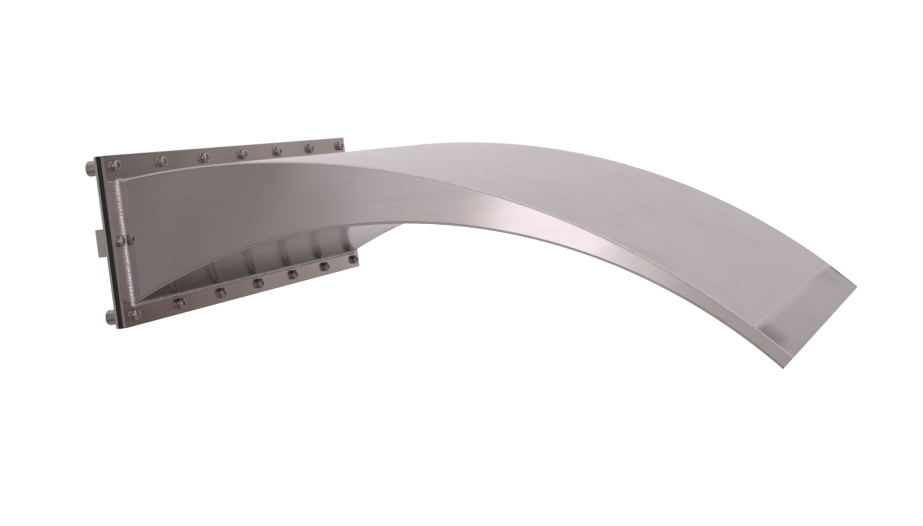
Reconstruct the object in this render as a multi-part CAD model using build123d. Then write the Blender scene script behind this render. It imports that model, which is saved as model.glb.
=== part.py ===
"""Wall-mounted curved water spout: a hollow stainless duct on a bolted flange.

Frame: millimetres, +Z up.  X = 0 is the rear face of the backing plate, which
seats on the wall, +X points out of the wall, and Y = 0 is the middle plane.
Z = 0 is the middle of the flange height.
"""
from build123d import *
import os
from math import asin, atan2, cos, hypot, sin, sqrt, tan

os.makedirs("parts", exist_ok=True)

# ---------------------------------------------------------------- spout
spout_width = 500.0        # over the side plates
projection = 500.0         # flange face to the furthest edge of the outlet
outlet_drop = 181.7        # outlet's upper edge below the root of the top skin
outlet_height = 10.7       # over both skins at the outlet, square to the top skin
top_rise = 61.8            # bow of the top skin above the line between its ends
bottom_rise = 81.8         # bow of the bottom skin above the line between its ends
side_thickness = 2.0
skin_thickness = 1.5

# ---------------------------------------------------------------- outlet lip
lip_length = 34.8          # folded end of the top skin, along its curve
lip_step = 3.0             # drop at the fold
lip_step_run = 3.0         # length of the sloping part of the fold
hem_length = 6.0           # last stretch, parallel to the outlet's direction
hem_depth = 1.0            # hem below the upper edges of the side plates
spacer_diameter = 5.0      # pins that hold the outlet slot open
spacer_count = 3

# ---------------------------------------------------------------- flange stack
flange_height = 133.0
flange_thickness = 2.5
gasket_thickness = 4.0
gasket_inset = 1.0         # gasket's edge inside the plates' edges
backing_thickness = 2.0
side_margin = 16.0         # flange beyond each side plate
top_margin = 20.5          # flange above the root of the top skin
bottom_margin = 16.1       # flange below the root of the bottom skin
corner_radius = 1.0

# ---------------------------------------------------------------- screws
row_count = 7              # screws in the top row and in the bottom row
row_inset = 8.5            # rows in from the upper and lower edges
corner_inset = 16.0        # first and last screw of a row, from the side edges
middle_inset = 8.0         # the screw at mid height, from the side edge
screw_diameter = 5.0
screw_length = 14.0
screw_head_diameter = 8.5
screw_head_height = 4.0
socket_flats = 4.0
socket_depth = 2.2
hole_clearance = 0.25      # radial, in the plates and the gasket
thread_clearance = 0.05    # radial, in the threaded bosses and blocks
bore_spare = 0.3           # bore beyond the end of its screw
head_chamfer = 0.5

# ---------------------------------------------------------------- back of the plate
boss_diameter = 12.0
boss_length = 14.0
boss_rim_radius = 1.5
block_width = 8.0
block_height = 21.4
block_depth = 9.5
block_chamfer = 1.0

# ---------------------------------------------------------------- water inlet
inlet_radius = 28.33       # threaded bore at its crests
inlet_wall = 6.0
inlet_length = 40.0
inlet_chamfer = 1.5
inlet_weld_leg = 4.0

# ---------------------------------------------------------------- inside the duct
diffuser_offset = 25.0     # from the flange face
diffuser_thickness = 1.5
diffuser_slot_width = 10.0
diffuser_slot_height = 60.0
diffuser_slot_pitch = 20.0

# ---------------------------------------------------------------- welds
root_weld_leg = 3.0
seam_bevel = 0.6           # ground edge of the beads along the duct

# ---------------------------------------------------------------- worked out
half_width = spout_width / 2
inner_half = half_width - side_thickness       # inner faces of the side plates
seam_width = side_thickness / 2                # outer half of the side plate's edge
skin_half = half_width - seam_width
flange_half = half_width + side_margin
flange_top = flange_height / 2
face_x = backing_thickness + gasket_thickness + flange_thickness
bore_depth = screw_length - face_x + bore_spare
root_top = flange_top - top_margin
root_bottom = -flange_top + bottom_margin
y_axis = (0, 1, 0)


class Bow:
    """A skin's outer arc in the XZ plane, between two points, bowed upwards."""

    def __init__(self, start, end, rise):
        chord = hypot(end[0] - start[0], end[1] - start[1])
        along = ((end[0] - start[0]) / chord, (end[1] - start[1]) / chord)
        self.radius = (chord ** 2 / 4 + rise ** 2) / (2 * rise)
        sink = self.radius - rise
        self.cx = (start[0] + end[0]) / 2 + along[1] * sink
        self.cz = (start[1] + end[1]) / 2 - along[0] * sink
        self.start = self.angle(start)
        self.end = self.angle(end)

    def angle(self, point):
        """Angle from straight up, growing towards the outlet."""
        return atan2(point[0] - self.cx, point[1] - self.cz)

    def at(self, radius, angle):
        return (self.cx + radius * sin(angle), self.cz + radius * cos(angle))

    def root(self, radius):
        """Where the arc of this radius meets the flange face."""
        return (face_x, self.cz + sqrt(radius ** 2 - (face_x - self.cx) ** 2))

    def outlet(self, radius):
        """Where the arc of this radius meets the plane of the outlet."""
        dx, dz = tip[0] - self.cx, tip[1] - self.cz
        along = dx * inward[0] + dz * inward[1]
        off = dx ** 2 + dz ** 2 - radius ** 2
        t = -along - sqrt(along ** 2 - off) if off > 0 else -along + sqrt(along ** 2 - off)
        return (tip[0] + t * inward[0], tip[1] + t * inward[1])

    def arc(self, radius, p, q):
        middle = self.at(radius, (self.angle(p) + self.angle(q)) / 2)
        return ThreePointArc(xz(p), xz(middle), xz(q))


def xz(point):
    return (point[0], 0, point[1])


def face_of(*edges):
    return Face(Wire(list(edges)))


def across(face, y0, y1):
    """The XZ face pulled out from Y = y0 to Y = y1."""
    return extrude(Pos(0, y0, 0) * face, amount=y1 - y0, dir=y_axis)


def line(p, q):
    return Line(xz(p), xz(q))


tip = (face_x + projection, root_top - outlet_drop)
top = Bow((face_x, root_top), tip, top_rise)
inward = (-sin(top.end), -cos(top.end))        # from the tip towards the arc's centre
tip_bottom = (tip[0] + outlet_height * inward[0], tip[1] + outlet_height * inward[1])
bottom = Bow((face_x, root_bottom), tip_bottom, bottom_rise)
fold = top.end - lip_length / top.radius       # angle of the fold line
top_inner = top.radius - skin_thickness
bottom_inner = bottom.radius + skin_thickness


def strip(upper, upper_radius, lower, lower_radius):
    """The face between two arcs, from the flange face to the outlet plane."""
    a, b = upper.root(upper_radius), upper.outlet(upper_radius)
    c, d = lower.outlet(lower_radius), lower.root(lower_radius)
    return face_of(upper.arc(upper_radius, a, b), line(b, c),
                   lower.arc(lower_radius, c, d), line(d, a))


cavity_face = strip(top, top_inner, bottom, bottom_inner)


# ---------------------------------------------------------------- duct plates
def side_plate(side):
    """Crescent plate under the top skin and on the bottom skin; past the fold
    its upper edge rises to the full outline, proud of the folded lip."""
    a, b = top.root(top_inner), top.at(top_inner, fold)
    c, d = top.at(top.radius, fold), tip
    e, f = bottom.outlet(bottom_inner), bottom.root(bottom_inner)
    outline = face_of(top.arc(top_inner, a, b), line(b, c), top.arc(top.radius, c, d),
                      line(d, e), bottom.arc(bottom_inner, e, f), line(f, a))
    low, high = sorted((side * inner_half, side * half_width))
    return across(outline, low, high)


def lip_point(along, depth):
    return top.at(top.radius - depth, fold + along / top.radius)


def lip():
    """Folded end of the top skin: a sloping step, a panel and a short hem."""
    back = skin_thickness * tan(atan2(lip_step, lip_step_run) / 2)
    upper = [lip_point(0, 0), lip_point(lip_step_run, lip_step),
             lip_point(lip_length - hem_length, hem_depth), lip_point(lip_length, hem_depth)]
    under = [lip_point(lip_length, hem_depth + skin_thickness),
             lip_point(lip_length - hem_length, hem_depth + skin_thickness),
             lip_point(lip_step_run - back, lip_step + skin_thickness),
             lip_point(-back, skin_thickness)]
    outline = [xz(p) for p in upper + under]
    return across(face_of(*Polyline(*outline, close=True).edges()), -inner_half, inner_half)


def top_skin_face():
    """Section of the top skin, from the flange face to the fold."""
    a, b = top.root(top.radius), top.at(top.radius, fold)
    c, d = top.at(top_inner, fold), top.root(top_inner)
    return face_of(top.arc(top.radius, a, b), line(b, c), top.arc(top_inner, c, d), line(d, a))


def top_plate():
    return across(top_skin_face(), -skin_half, skin_half) + lip()


def bottom_skin_face():
    return strip(bottom, bottom_inner, bottom, bottom.radius)


def bottom_plate():
    return across(bottom_skin_face(), -skin_half, skin_half)


def outlet_spacers(lip_plate, floor_plate):
    """Round pins across the slot, between the lip and the bottom skin."""
    station = fold + lip_length / 2 / top.radius
    start = top.at(top.radius - hem_depth - skin_thickness, station)
    centre = xz((start[0] + inward[0] * outlet_height / 2, start[1] + inward[1] * outlet_height / 2))
    pin_plane = Plane(origin=centre, x_dir=y_axis, z_dir=(sin(station), 0, cos(station)))
    pitch = spout_width / (spacer_count + 1)
    room = across(cavity_face, -inner_half, inner_half)
    pins = []
    for i in range(spacer_count):
        y = (i - (spacer_count - 1) / 2) * pitch
        pin = Pos(0, y, 0) * (pin_plane * Cylinder(spacer_diameter / 2, outlet_height))
        between = (pin & room) - lip_plate - floor_plate
        pins.append(sorted(between.solids(), key=lambda s: s.center().Z)[0])
    return Compound(children=pins)


def flow_diffuser():
    """Slotted plate across the duct that spreads the inlet's flow."""
    start = face_x + diffuser_offset
    slab = Pos(start + diffuser_thickness / 2, 0, 0) * Box(
        diffuser_thickness, 2 * inner_half, 2 * flange_height)
    plate = across(cavity_face, -inner_half, inner_half) & slab
    middle = plate.bounding_box().center().Z
    slots = int((2 * inner_half - diffuser_slot_pitch) / diffuser_slot_pitch)
    for i in range(slots):
        y = (i - (slots - 1) / 2) * diffuser_slot_pitch
        plate -= Pos(start, y, middle) * Rot(0, 90, 0) * extrude(
            SlotOverall(diffuser_slot_height, diffuser_slot_width), 2 * diffuser_thickness, both=True)
    return plate


# ---------------------------------------------------------------- flange stack
def screw_places():
    first = flange_half - corner_inset
    pitch = 2 * first / (row_count - 1)
    rows = [(-first + i * pitch, z) for z in (flange_top - row_inset, row_inset - flange_top)
            for i in range(row_count)]
    return rows, [(side * (flange_half - middle_inset), 0) for side in (-1, 1)]


row_screws, middle_screws = screw_places()
opening_top = top.root(top_inner)[1]
opening_bottom = bottom.root(bottom_inner)[1]


def plate_blank(x, thickness, inset):
    """A rounded rectangle across the wall axis, from x outwards."""
    sketch = RectangleRounded(2 * (flange_half - inset), flange_height - 2 * inset, corner_radius)
    plane = Plane(origin=(x, 0, 0), x_dir=y_axis, z_dir=(1, 0, 0))
    return extrude(plane * sketch, amount=thickness)


def drilled(plate, x, thickness):
    radius = screw_diameter / 2 + hole_clearance
    for y, z in row_screws + middle_screws:
        plate -= Pos(x + thickness / 2, y, z) * Rot(0, 90, 0) * Cylinder(radius, 2 * thickness)
    return plate


def framed(x, thickness, inset):
    """A flange ring: the blank, its screw holes and the duct's opening."""
    opening = Pos(x + thickness / 2, 0, (opening_top + opening_bottom) / 2) * Box(
        2 * thickness, 2 * inner_half, opening_top - opening_bottom)
    return drilled(plate_blank(x, thickness, inset), x, thickness) - opening


def backing_plate():
    hole = Pos(backing_thickness / 2, 0, 0) * Rot(0, 90, 0) * Cylinder(
        inlet_radius, 2 * backing_thickness)
    return drilled(plate_blank(0, backing_thickness, 0), 0, backing_thickness) - hole


# ---------------------------------------------------------------- fasteners
def screw():
    """Low cap screw, head outwards, its seat at X = 0."""
    head = Pos(screw_head_height / 2, 0, 0) * Rot(0, 90, 0) * Cylinder(
        screw_head_diameter / 2, screw_head_height)
    head = chamfer(head.edges().sort_by(Axis.X)[-1], head_chamfer)
    socket = extrude(Plane(origin=(screw_head_height, 0, 0), x_dir=y_axis, z_dir=(-1, 0, 0))
                     * RegularPolygon(socket_flats / 2, 6, major_radius=False), socket_depth)
    shank = Pos(-screw_length / 2, 0, 0) * Rot(0, 90, 0) * Cylinder(
        screw_diameter / 2, screw_length)
    shank = chamfer(shank.edges().sort_by(Axis.X)[0], head_chamfer)
    return head - socket + shank


def flange_screws():
    one = screw()
    return Compound(children=[Pos(face_x, y, z) * one for y, z in row_screws + middle_screws])


def threaded_bore():
    return Pos(-bore_depth / 2, 0, 0) * Rot(0, 90, 0) * Cylinder(
        screw_diameter / 2 + thread_clearance, bore_depth)


def screw_bosses():
    """Closed round bosses behind the two rows of screws."""
    boss = Pos(-boss_length / 2, 0, 0) * Rot(0, 90, 0) * Cylinder(boss_diameter / 2, boss_length)
    boss = fillet(boss.edges().sort_by(Axis.X)[0], boss_rim_radius)
    boss -= threaded_bore()
    return Compound(children=[Pos(0, y, z) * boss for y, z in row_screws])


def anchor_block(side):
    """Rectangular block behind the screw at mid height."""
    block = Pos(-block_depth / 2, 0, 0) * Box(block_depth, block_width, block_height)
    block = chamfer(block.faces().sort_by(Axis.X)[0].edges(), block_chamfer)
    block -= threaded_bore()
    return Pos(0, side * (flange_half - middle_inset), 0) * block


# ---------------------------------------------------------------- inlet
def inlet_socket():
    outer = inlet_radius + inlet_wall
    body = Pos(-inlet_length / 2, 0, 0) * Rot(0, 90, 0) * Cylinder(outer, inlet_length)
    body = chamfer(body.edges().sort_by(Axis.X)[0], inlet_chamfer)
    return body - Pos(-inlet_length / 2, 0, 0) * Rot(0, 90, 0) * Cylinder(
        inlet_radius, 2 * inlet_length)


def inlet_weld():
    outer = inlet_radius + inlet_wall
    section = face_of(line((0, outer), (0, outer + inlet_weld_leg)),
                      line((0, outer + inlet_weld_leg), (-inlet_weld_leg, outer)),
                      line((-inlet_weld_leg, outer), (0, outer)))
    return revolve(section, Axis.X, 360)


# ---------------------------------------------------------------- welds
outside = Pos(face_x + root_weld_leg, 0, 0) * Box(
    2 * root_weld_leg, 2 * flange_half, 2 * flange_height)


def root_weld_side(side):
    """Bead down the joint of a side plate and the flange."""
    height = root_top - root_bottom
    bead = Pos(face_x, side * half_width, (root_top + root_bottom) / 2) * Cylinder(
        root_weld_leg, height)
    beyond = Pos(face_x, side * (half_width + root_weld_leg), 0) * Box(
        4 * root_weld_leg, 2 * root_weld_leg, 2 * flange_height)
    return bead & outside & beyond


def root_weld_level(bow, up):
    """Bead along the joint of a skin and the flange, with its two round corners.
    Its section is a sector between the flange face and the skin's outer arc."""
    corner = bow.root(bow.radius)
    on_flange = (corner[0], corner[1] + up * root_weld_leg)
    on_skin = bow.at(bow.radius, bow.start + 2 * asin(root_weld_leg / 2 / bow.radius))
    crown = (on_flange[0] + on_skin[0] - 2 * corner[0], on_flange[1] + on_skin[1] - 2 * corner[1])
    reach = root_weld_leg / hypot(*crown)
    middle = (corner[0] + crown[0] * reach, corner[1] + crown[1] * reach)
    section = face_of(line(corner, on_flange),
                      ThreePointArc(xz(on_flange), xz(middle), xz(on_skin)),
                      bow.arc(bow.radius, on_skin, corner))
    bead = across(section, -half_width, half_width)
    for side in (-1, 1):
        octant = Pos(face_x + root_weld_leg, side * (half_width + root_weld_leg),
                     corner[1] + up * root_weld_leg) * Box(*[2 * root_weld_leg] * 3)
        bead += Pos(face_x, side * half_width, corner[1]) * Sphere(root_weld_leg) & octant
    return bead


def seam_weld(stretch, radius, side):
    """Ground bead in the open corner between a skin's edge and a side plate.
    stretch is the skin's section, and radius that of its outer face."""
    low, high = sorted((side * skin_half, side * half_width))
    bead = across(stretch, low, high)
    corner_edges = [e for e in bead.edges().filter_by(GeomType.CIRCLE)
                    if abs(abs(e.center().Y) - half_width) < seam_bevel]
    return chamfer(min(corner_edges, key=lambda e: abs(e.radius - radius)), seam_bevel)


def build():
    upper, floor_plate = top_plate(), bottom_plate()
    nodes = {
        "front_flange": framed(backing_thickness + gasket_thickness, flange_thickness, 0),
        "gasket": framed(backing_thickness, gasket_thickness, gasket_inset),
        "backing_plate": backing_plate(),
        "flange_screws": flange_screws(),
        "screw_bosses": screw_bosses(),
        "inlet_socket": inlet_socket(),
        "inlet_weld": inlet_weld(),
        "top_plate": upper,
        "bottom_plate": floor_plate,
        "flow_diffuser": flow_diffuser(),
        "outlet_spacers": outlet_spacers(upper, floor_plate),
        "root_weld_top": root_weld_level(top, 1),
        "root_weld_bottom": root_weld_level(bottom, -1),
    }
    for name, side in (("right", -1), ("left", 1)):
        nodes[f"side_plate_{name}"] = side_plate(side)
        nodes[f"root_weld_{name}"] = root_weld_side(side)
        nodes[f"anchor_block_{name}"] = anchor_block(side)
        nodes[f"seam_weld_top_{name}"] = seam_weld(top_skin_face(), top.radius, side)
        nodes[f"seam_weld_bottom_{name}"] = seam_weld(bottom_skin_face(), bottom.radius, side)
    return nodes


for node, shape in build().items():
    export_step(shape, f"parts/{node}.step")
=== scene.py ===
"""Looks of a wall-mounted curved water spout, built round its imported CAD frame.

Frame: metres, +Z up.  X = 0 is the rear face of the backing plate, +X points out
of the wall, Y = 0 is the middle plane and Z = 0 the middle of the flange height.
"""

import logging
import math
from dataclasses import dataclass, field
from enum import Enum
from typing import Optional, Sequence

import bmesh
import bpy
import numpy as np
from mathutils import Matrix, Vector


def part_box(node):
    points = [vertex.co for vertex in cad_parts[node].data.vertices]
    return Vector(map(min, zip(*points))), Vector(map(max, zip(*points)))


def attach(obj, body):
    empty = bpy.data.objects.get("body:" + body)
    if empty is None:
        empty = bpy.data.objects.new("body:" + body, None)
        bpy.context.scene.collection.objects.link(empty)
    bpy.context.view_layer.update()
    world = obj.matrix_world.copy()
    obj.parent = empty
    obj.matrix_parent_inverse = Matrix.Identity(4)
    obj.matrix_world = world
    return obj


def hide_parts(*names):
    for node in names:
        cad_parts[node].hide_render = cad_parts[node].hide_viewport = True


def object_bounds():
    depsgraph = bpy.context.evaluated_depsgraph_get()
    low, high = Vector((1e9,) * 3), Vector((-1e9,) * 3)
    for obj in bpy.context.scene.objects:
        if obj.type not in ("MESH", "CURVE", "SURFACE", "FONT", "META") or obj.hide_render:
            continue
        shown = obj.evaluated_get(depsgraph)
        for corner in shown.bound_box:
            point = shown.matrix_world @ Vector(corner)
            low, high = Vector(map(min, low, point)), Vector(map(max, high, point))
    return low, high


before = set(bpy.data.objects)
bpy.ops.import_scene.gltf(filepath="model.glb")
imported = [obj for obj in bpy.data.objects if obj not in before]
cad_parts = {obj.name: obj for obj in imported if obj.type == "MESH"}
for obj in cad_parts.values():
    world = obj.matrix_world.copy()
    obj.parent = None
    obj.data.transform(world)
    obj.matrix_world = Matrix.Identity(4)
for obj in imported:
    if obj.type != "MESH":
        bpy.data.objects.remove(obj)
CAD_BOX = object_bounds()

Array = np.ndarray
Colour = tuple[float, float, float]
Span = tuple[float, float]
LOG = logging.getLogger("water_spout")
UV_NAME = "laid"
RIM_NAME = "rim"
PANEL_NAME = "panel"
ROOM_NAME = "room_light"
MM = 0.001
X_AXIS, Y_AXIS, Z_AXIS = np.eye(3)
WHITE: Colour = (1.0, 1.0, 1.0)
SIDE_SUPPORT = 0.004  # share of a side between a corner and the place beside it
END_SUPPORT = 2.5     # edge radii between an end face and the section beside it
SOFTEN_STEPS = 4      # sections on the quarter circle of a soft end
TIGHTEN = 0.98        # keeps the edge radius under half of a thin section
LEAST_BEND = 1e-6     # keeps points apart where the radius runs out
ON_CORNER = 0.05      # an offset with both parts over this stands on a corner


# ------------------------------------------------------------------ surfaces
@dataclass(frozen=True)
class Skin:
    """Part of a mesh: points, groups of faces with UVs in metres, and rim values.

    Each group is an array (faces, corners) of point numbers, and uvs has an array
    (faces, corners, 2) for each group.  rim is 1 on softened edges, else 0.
    """

    points: Array
    groups: tuple[Array, ...]
    uvs: tuple[Array, ...]
    rim: Array


def smooth_step(values: Array) -> Array:
    """Three t squared less two t cubed, with t held between 0 and 1."""
    t = np.clip(values, 0.0, 1.0)
    return t * t * (3.0 - 2.0 * t)


def wander(stations: Array, pitch: float, seed: int) -> Array:
    """Smooth random values between about -1 and 1 along a line.

    A random number stands at every pitch, and the value between two of them
    passes from one to the other by the smooth step.

    Args:
        stations: places along the line, in metres.
        pitch: distance between the random numbers, in metres.
        seed: start of the random numbers.

    Returns:
        One value for each station.
    """
    place = (stations - stations.min()) / pitch
    knots = np.random.default_rng(seed).uniform(-1.0, 1.0, int(place.max()) + 3)
    cell = place.astype(int)
    blend = smooth_step(place - cell)
    return knots[cell] * (1.0 - blend) + knots[cell + 1] * blend


def weave(points: Array, along: Array, around: Array, closed_along: bool = False,
          closed_around: bool = True, capped: bool = True,
          rim: Optional[Array] = None) -> Skin:
    """Quads over a grid of points, P(s, k), with flat caps on its two end rings.

    Args:
        points: grid (stations, ring, 3).
        along: UV value of each station, with one more if closed_along.
        around: UV value of each ring place, with one more if closed_around.
        closed_along: the last station joins the first.
        closed_around: the last ring place joins the first.
        capped: close the two end rings; only where the grid isn't closed along.
        rim: grid (stations, ring) of edge values, or None for none.

    Returns:
        The skin.
    """
    stations, ring = points.shape[:2]
    i, j = np.meshgrid(np.arange(stations if closed_along else stations - 1),
                       np.arange(ring if closed_around else ring - 1), indexing="ij")
    corners = ((i, j), (i + 1, j), (i + 1, j + 1), (i, j + 1))
    quads = np.stack([(a % stations) * ring + b % ring for a, b in corners], -1)
    uv = np.stack([np.stack([along[a], around[b]], -1) for a, b in corners], -2)
    groups, uvs = [quads.reshape(-1, 4)], [uv.reshape(-1, 4, 2)]
    if capped and not closed_along:
        first = np.arange(ring)[None, :]
        last = (stations - 1) * ring + first[:, ::-1]
        flat = points.reshape(-1, 3)
        for cap in (first, last):
            groups.append(cap)
            uvs.append(flat[cap][..., 1:])
    edge = np.zeros((stations, ring)) if rim is None else rim
    return Skin(points.reshape(-1, 3), tuple(groups), tuple(uvs), edge.ravel())


@dataclass(frozen=True)
class Ring:
    """A rounded rectangle as places on a unit square and unit offsets from them.

    A point stands at r + base (size - 2 r) + r offset in each direction, where r
    is the edge radius, so one ring fits every section of a loft.
    """

    base: Array
    offset: Array

    @classmethod
    def made(cls, across: int, up: int, corner: int) -> "Ring":
        """A ring with so many steps on its two sides and on each round corner.

        A side with steps also has a place close to each corner, so that the
        smooth shading of the corner doesn't reach over the flat face.

        Args:
            across: steps on the first and third side.
            up: steps on the second and fourth side.
            corner: steps on each corner arc.

        Returns:
            The ring, counterclockwise from the end of its first corner.
        """
        square = np.array([(0, 0), (1, 0), (1, 1), (0, 1)], float)
        bases, offsets = [], []
        for side, steps in enumerate((across, up, across, up)):
            start, stop = square[side], square[(side + 1) % 4]
            inner = np.linspace(0, 1, steps + 1)[1:-1]
            if steps > 1:
                inner = np.concatenate([[SIDE_SUPPORT], inner, [1 - SIDE_SUPPORT]])
            turn = math.radians(90 * side - 90)
            bases.append(start + (stop - start) * inner[:, None])
            offsets.append(np.tile([math.cos(turn), math.sin(turn)], (len(inner), 1)))
            arc = turn + np.linspace(0, math.pi / 2, corner + 1)
            bases.append(np.tile(stop, (corner + 1, 1)))
            offsets.append(np.stack([np.cos(arc), np.sin(arc)], -1))
        return cls(np.concatenate(bases), np.concatenate(offsets))


def loft(low: Array, high: Array, side: Array, radius: float, ring: Ring,
         closed: bool = False, soft_ends: bool = True) -> Skin:
    """A rounded rectangular section carried along a path.

    At station s the section has the corners low, low + side, high + side and
    high, so a point is low + w side/|side| + h (high - low)/|high - low|, with w
    and h from the ring.  Soft ends pull the last sections in on a quarter circle.

    Args:
        low: first corner of each section (stations, 3).
        high: the corner above it (stations, 3).
        side: vector to the other two corners (stations, 3).
        radius: radius of the four long edges.
        ring: the section's places.
        closed: the last section joins the first.
        soft_ends: round the two end faces' edges too.

    Returns:
        The skin.
    """
    inset = np.zeros(len(low))
    if soft_ends and not closed:
        turn = np.linspace(0, math.pi / 2, SOFTEN_STEPS)
        pulled = np.concatenate([[END_SUPPORT], 1 - np.sin(turn)])
        sunk = np.concatenate([[0.0], 1 - np.cos(turn)])
        ends = []
        for here, after in ((0, 1), (-1, -2)):
            step = (low[after] + high[after] - low[here] - high[here]) / 2
            pull = radius * pulled[:, None] * step / np.linalg.norm(step)
            ends.append((low[here] + pull, high[here] + pull, radius * sunk))
        (low_a, high_a, in_a), (low_b, high_b, in_b) = ends
        low = np.concatenate([low_a[::-1], low[1:-1], low_b])
        high = np.concatenate([high_a[::-1], high[1:-1], high_b])
        inset = np.concatenate([in_a[::-1], inset[1:-1], in_b])
        times = (len(pulled), 1)
        side = np.concatenate([np.tile(side[0], times), side[1:-1], np.tile(side[-1], times)])
    tall = np.linalg.norm(high - low, axis=1)
    wide = np.linalg.norm(side, axis=1)
    size = np.stack([wide, tall], -1)
    bend = (radius - inset)[:, None, None] * TIGHTEN + LEAST_BEND
    border = inset[:, None, None] + bend
    place = border + ring.base * (size[:, None] - 2 * border) + bend * ring.offset
    unit_side, unit_up = side / wide[:, None], (high - low) / tall[:, None]
    points = (low[:, None] + place[..., :1] * unit_side[:, None]
              + place[..., 1:] * unit_up[:, None])
    middle = (low + high) / 2
    if closed:
        middle = np.concatenate([middle, middle[:1]])
    run = np.concatenate([[0], np.cumsum(np.linalg.norm(np.diff(middle, axis=0), axis=1))])
    loop = np.concatenate([points[len(points) // 2], points[len(points) // 2][:1]])
    girth = np.concatenate([[0], np.cumsum(np.linalg.norm(np.diff(loop, axis=0), axis=1))])
    edge = (np.abs(ring.offset).min(axis=1) > ON_CORNER).astype(float)
    rim = np.maximum(np.tile(edge, (len(points), 1)), (inset > 0)[:, None])
    return weave(points, run, girth, closed_along=closed, capped=not closed, rim=rim)


def lathe(profile: Array, steps: int, centres: Array, hexagon: Optional[Array] = None,
          closed: bool = False) -> list[Skin]:
    """A profile turned about the X axis, set down at each centre.

    A point is (x, r g cos t, r g sin t).  g is 1 on a round station, and
    1 / cos(t folded to 30 degrees each way) where the station is a hexagon.

    Args:
        profile: (stations, 2) of x and r; the ends stand on the axis unless closed.
        steps: steps round the axis.
        centres: (count, 3) of where to set it down.
        hexagon: share of hexagon, 0 to 1, for each station.
        closed: the profile is a loop that stays off the axis.

    Returns:
        One skin for each centre.
    """
    turn = np.linspace(0, 2 * math.pi, steps, endpoint=False)
    share = np.zeros(len(profile)) if hexagon is None else hexagon
    fold = np.mod(turn, math.pi / 3) - math.pi / 6
    grow = 1 + share[:, None] * (1 / np.cos(fold) - 1)
    reach = profile[:, 1:] * grow
    points = np.stack([np.broadcast_to(profile[:, :1], reach.shape),
                       reach * np.cos(turn), reach * np.sin(turn)], -1)
    loop = np.concatenate([profile, profile[:1]]) if closed else profile
    run = np.concatenate([[0], np.cumsum(np.linalg.norm(np.diff(loop, axis=0), axis=1))])
    angle = np.linspace(0, 1, steps + 1) * 2 * math.pi * profile[:, 1].max()
    skins = []
    for centre in centres:
        placed = points + centre
        skin = weave(placed, run, angle, closed_along=closed, capped=False)
        if not closed:
            skin = with_poles(skin, placed, run, angle)
        skins.append(skin)
    return skins


def with_poles(skin: Skin, points: Array, run: Array, angle: Array) -> Skin:
    """Turns the two end rings, which have shrunk to a point, into fans.

    Args:
        skin: the woven grid, without caps.
        points: the grid's points (stations, ring, 3).
        run: UV value of each station.
        angle: UV value of each ring place, with one more.

    Returns:
        The skin with one point at each pole and no doubled points.
    """
    stations, ring = points.shape[:2]
    inner = points[1:-1].reshape(-1, 3)
    poles = np.stack([points[0].mean(0), points[-1].mean(0)])
    j = np.arange(ring)
    after = (j + 1) % ring
    last = (stations - 3) * ring
    start = np.stack([np.full(ring, len(inner)), j, after], -1)
    stop = np.stack([np.full(ring, len(inner) + 1), last + after, last + j], -1)
    body = skin.groups[0].reshape(stations - 1, ring, 4)[1:-1].reshape(-1, 4) - ring
    body_uv = skin.uvs[0].reshape(stations - 1, ring, 4, 2)[1:-1].reshape(-1, 4, 2)
    start_uv = np.stack([np.stack([np.full(ring, run[0]), angle[j]], -1),
                         np.stack([np.full(ring, run[1]), angle[j]], -1),
                         np.stack([np.full(ring, run[1]), angle[j + 1]], -1)], 1)
    stop_uv = np.stack([np.stack([np.full(ring, run[-1]), angle[j]], -1),
                        np.stack([np.full(ring, run[-2]), angle[j + 1]], -1),
                        np.stack([np.full(ring, run[-2]), angle[j]], -1)], 1)
    return Skin(np.concatenate([inner, poles]), (body, start, stop),
                (body_uv, start_uv, stop_uv), np.zeros(len(inner) + 2))


def volume(skin: Skin) -> float:
    """Signed volume: each face's fan of triangles with the origin, summed."""
    total = 0.0
    for group in skin.groups:
        first = skin.points[group[:, :1]]
        turn = np.cross(skin.points[group[:, 1:-1]], skin.points[group[:, 2:]])
        total += float((first * turn).sum()) / 6
    return total


def outward(skin: Skin) -> Skin:
    """The same skin with its faces turned outwards."""
    if volume(skin) >= 0:
        return skin
    return Skin(skin.points, tuple(g[:, ::-1] for g in skin.groups),
                tuple(u[:, ::-1] for u in skin.uvs), skin.rim)


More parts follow.
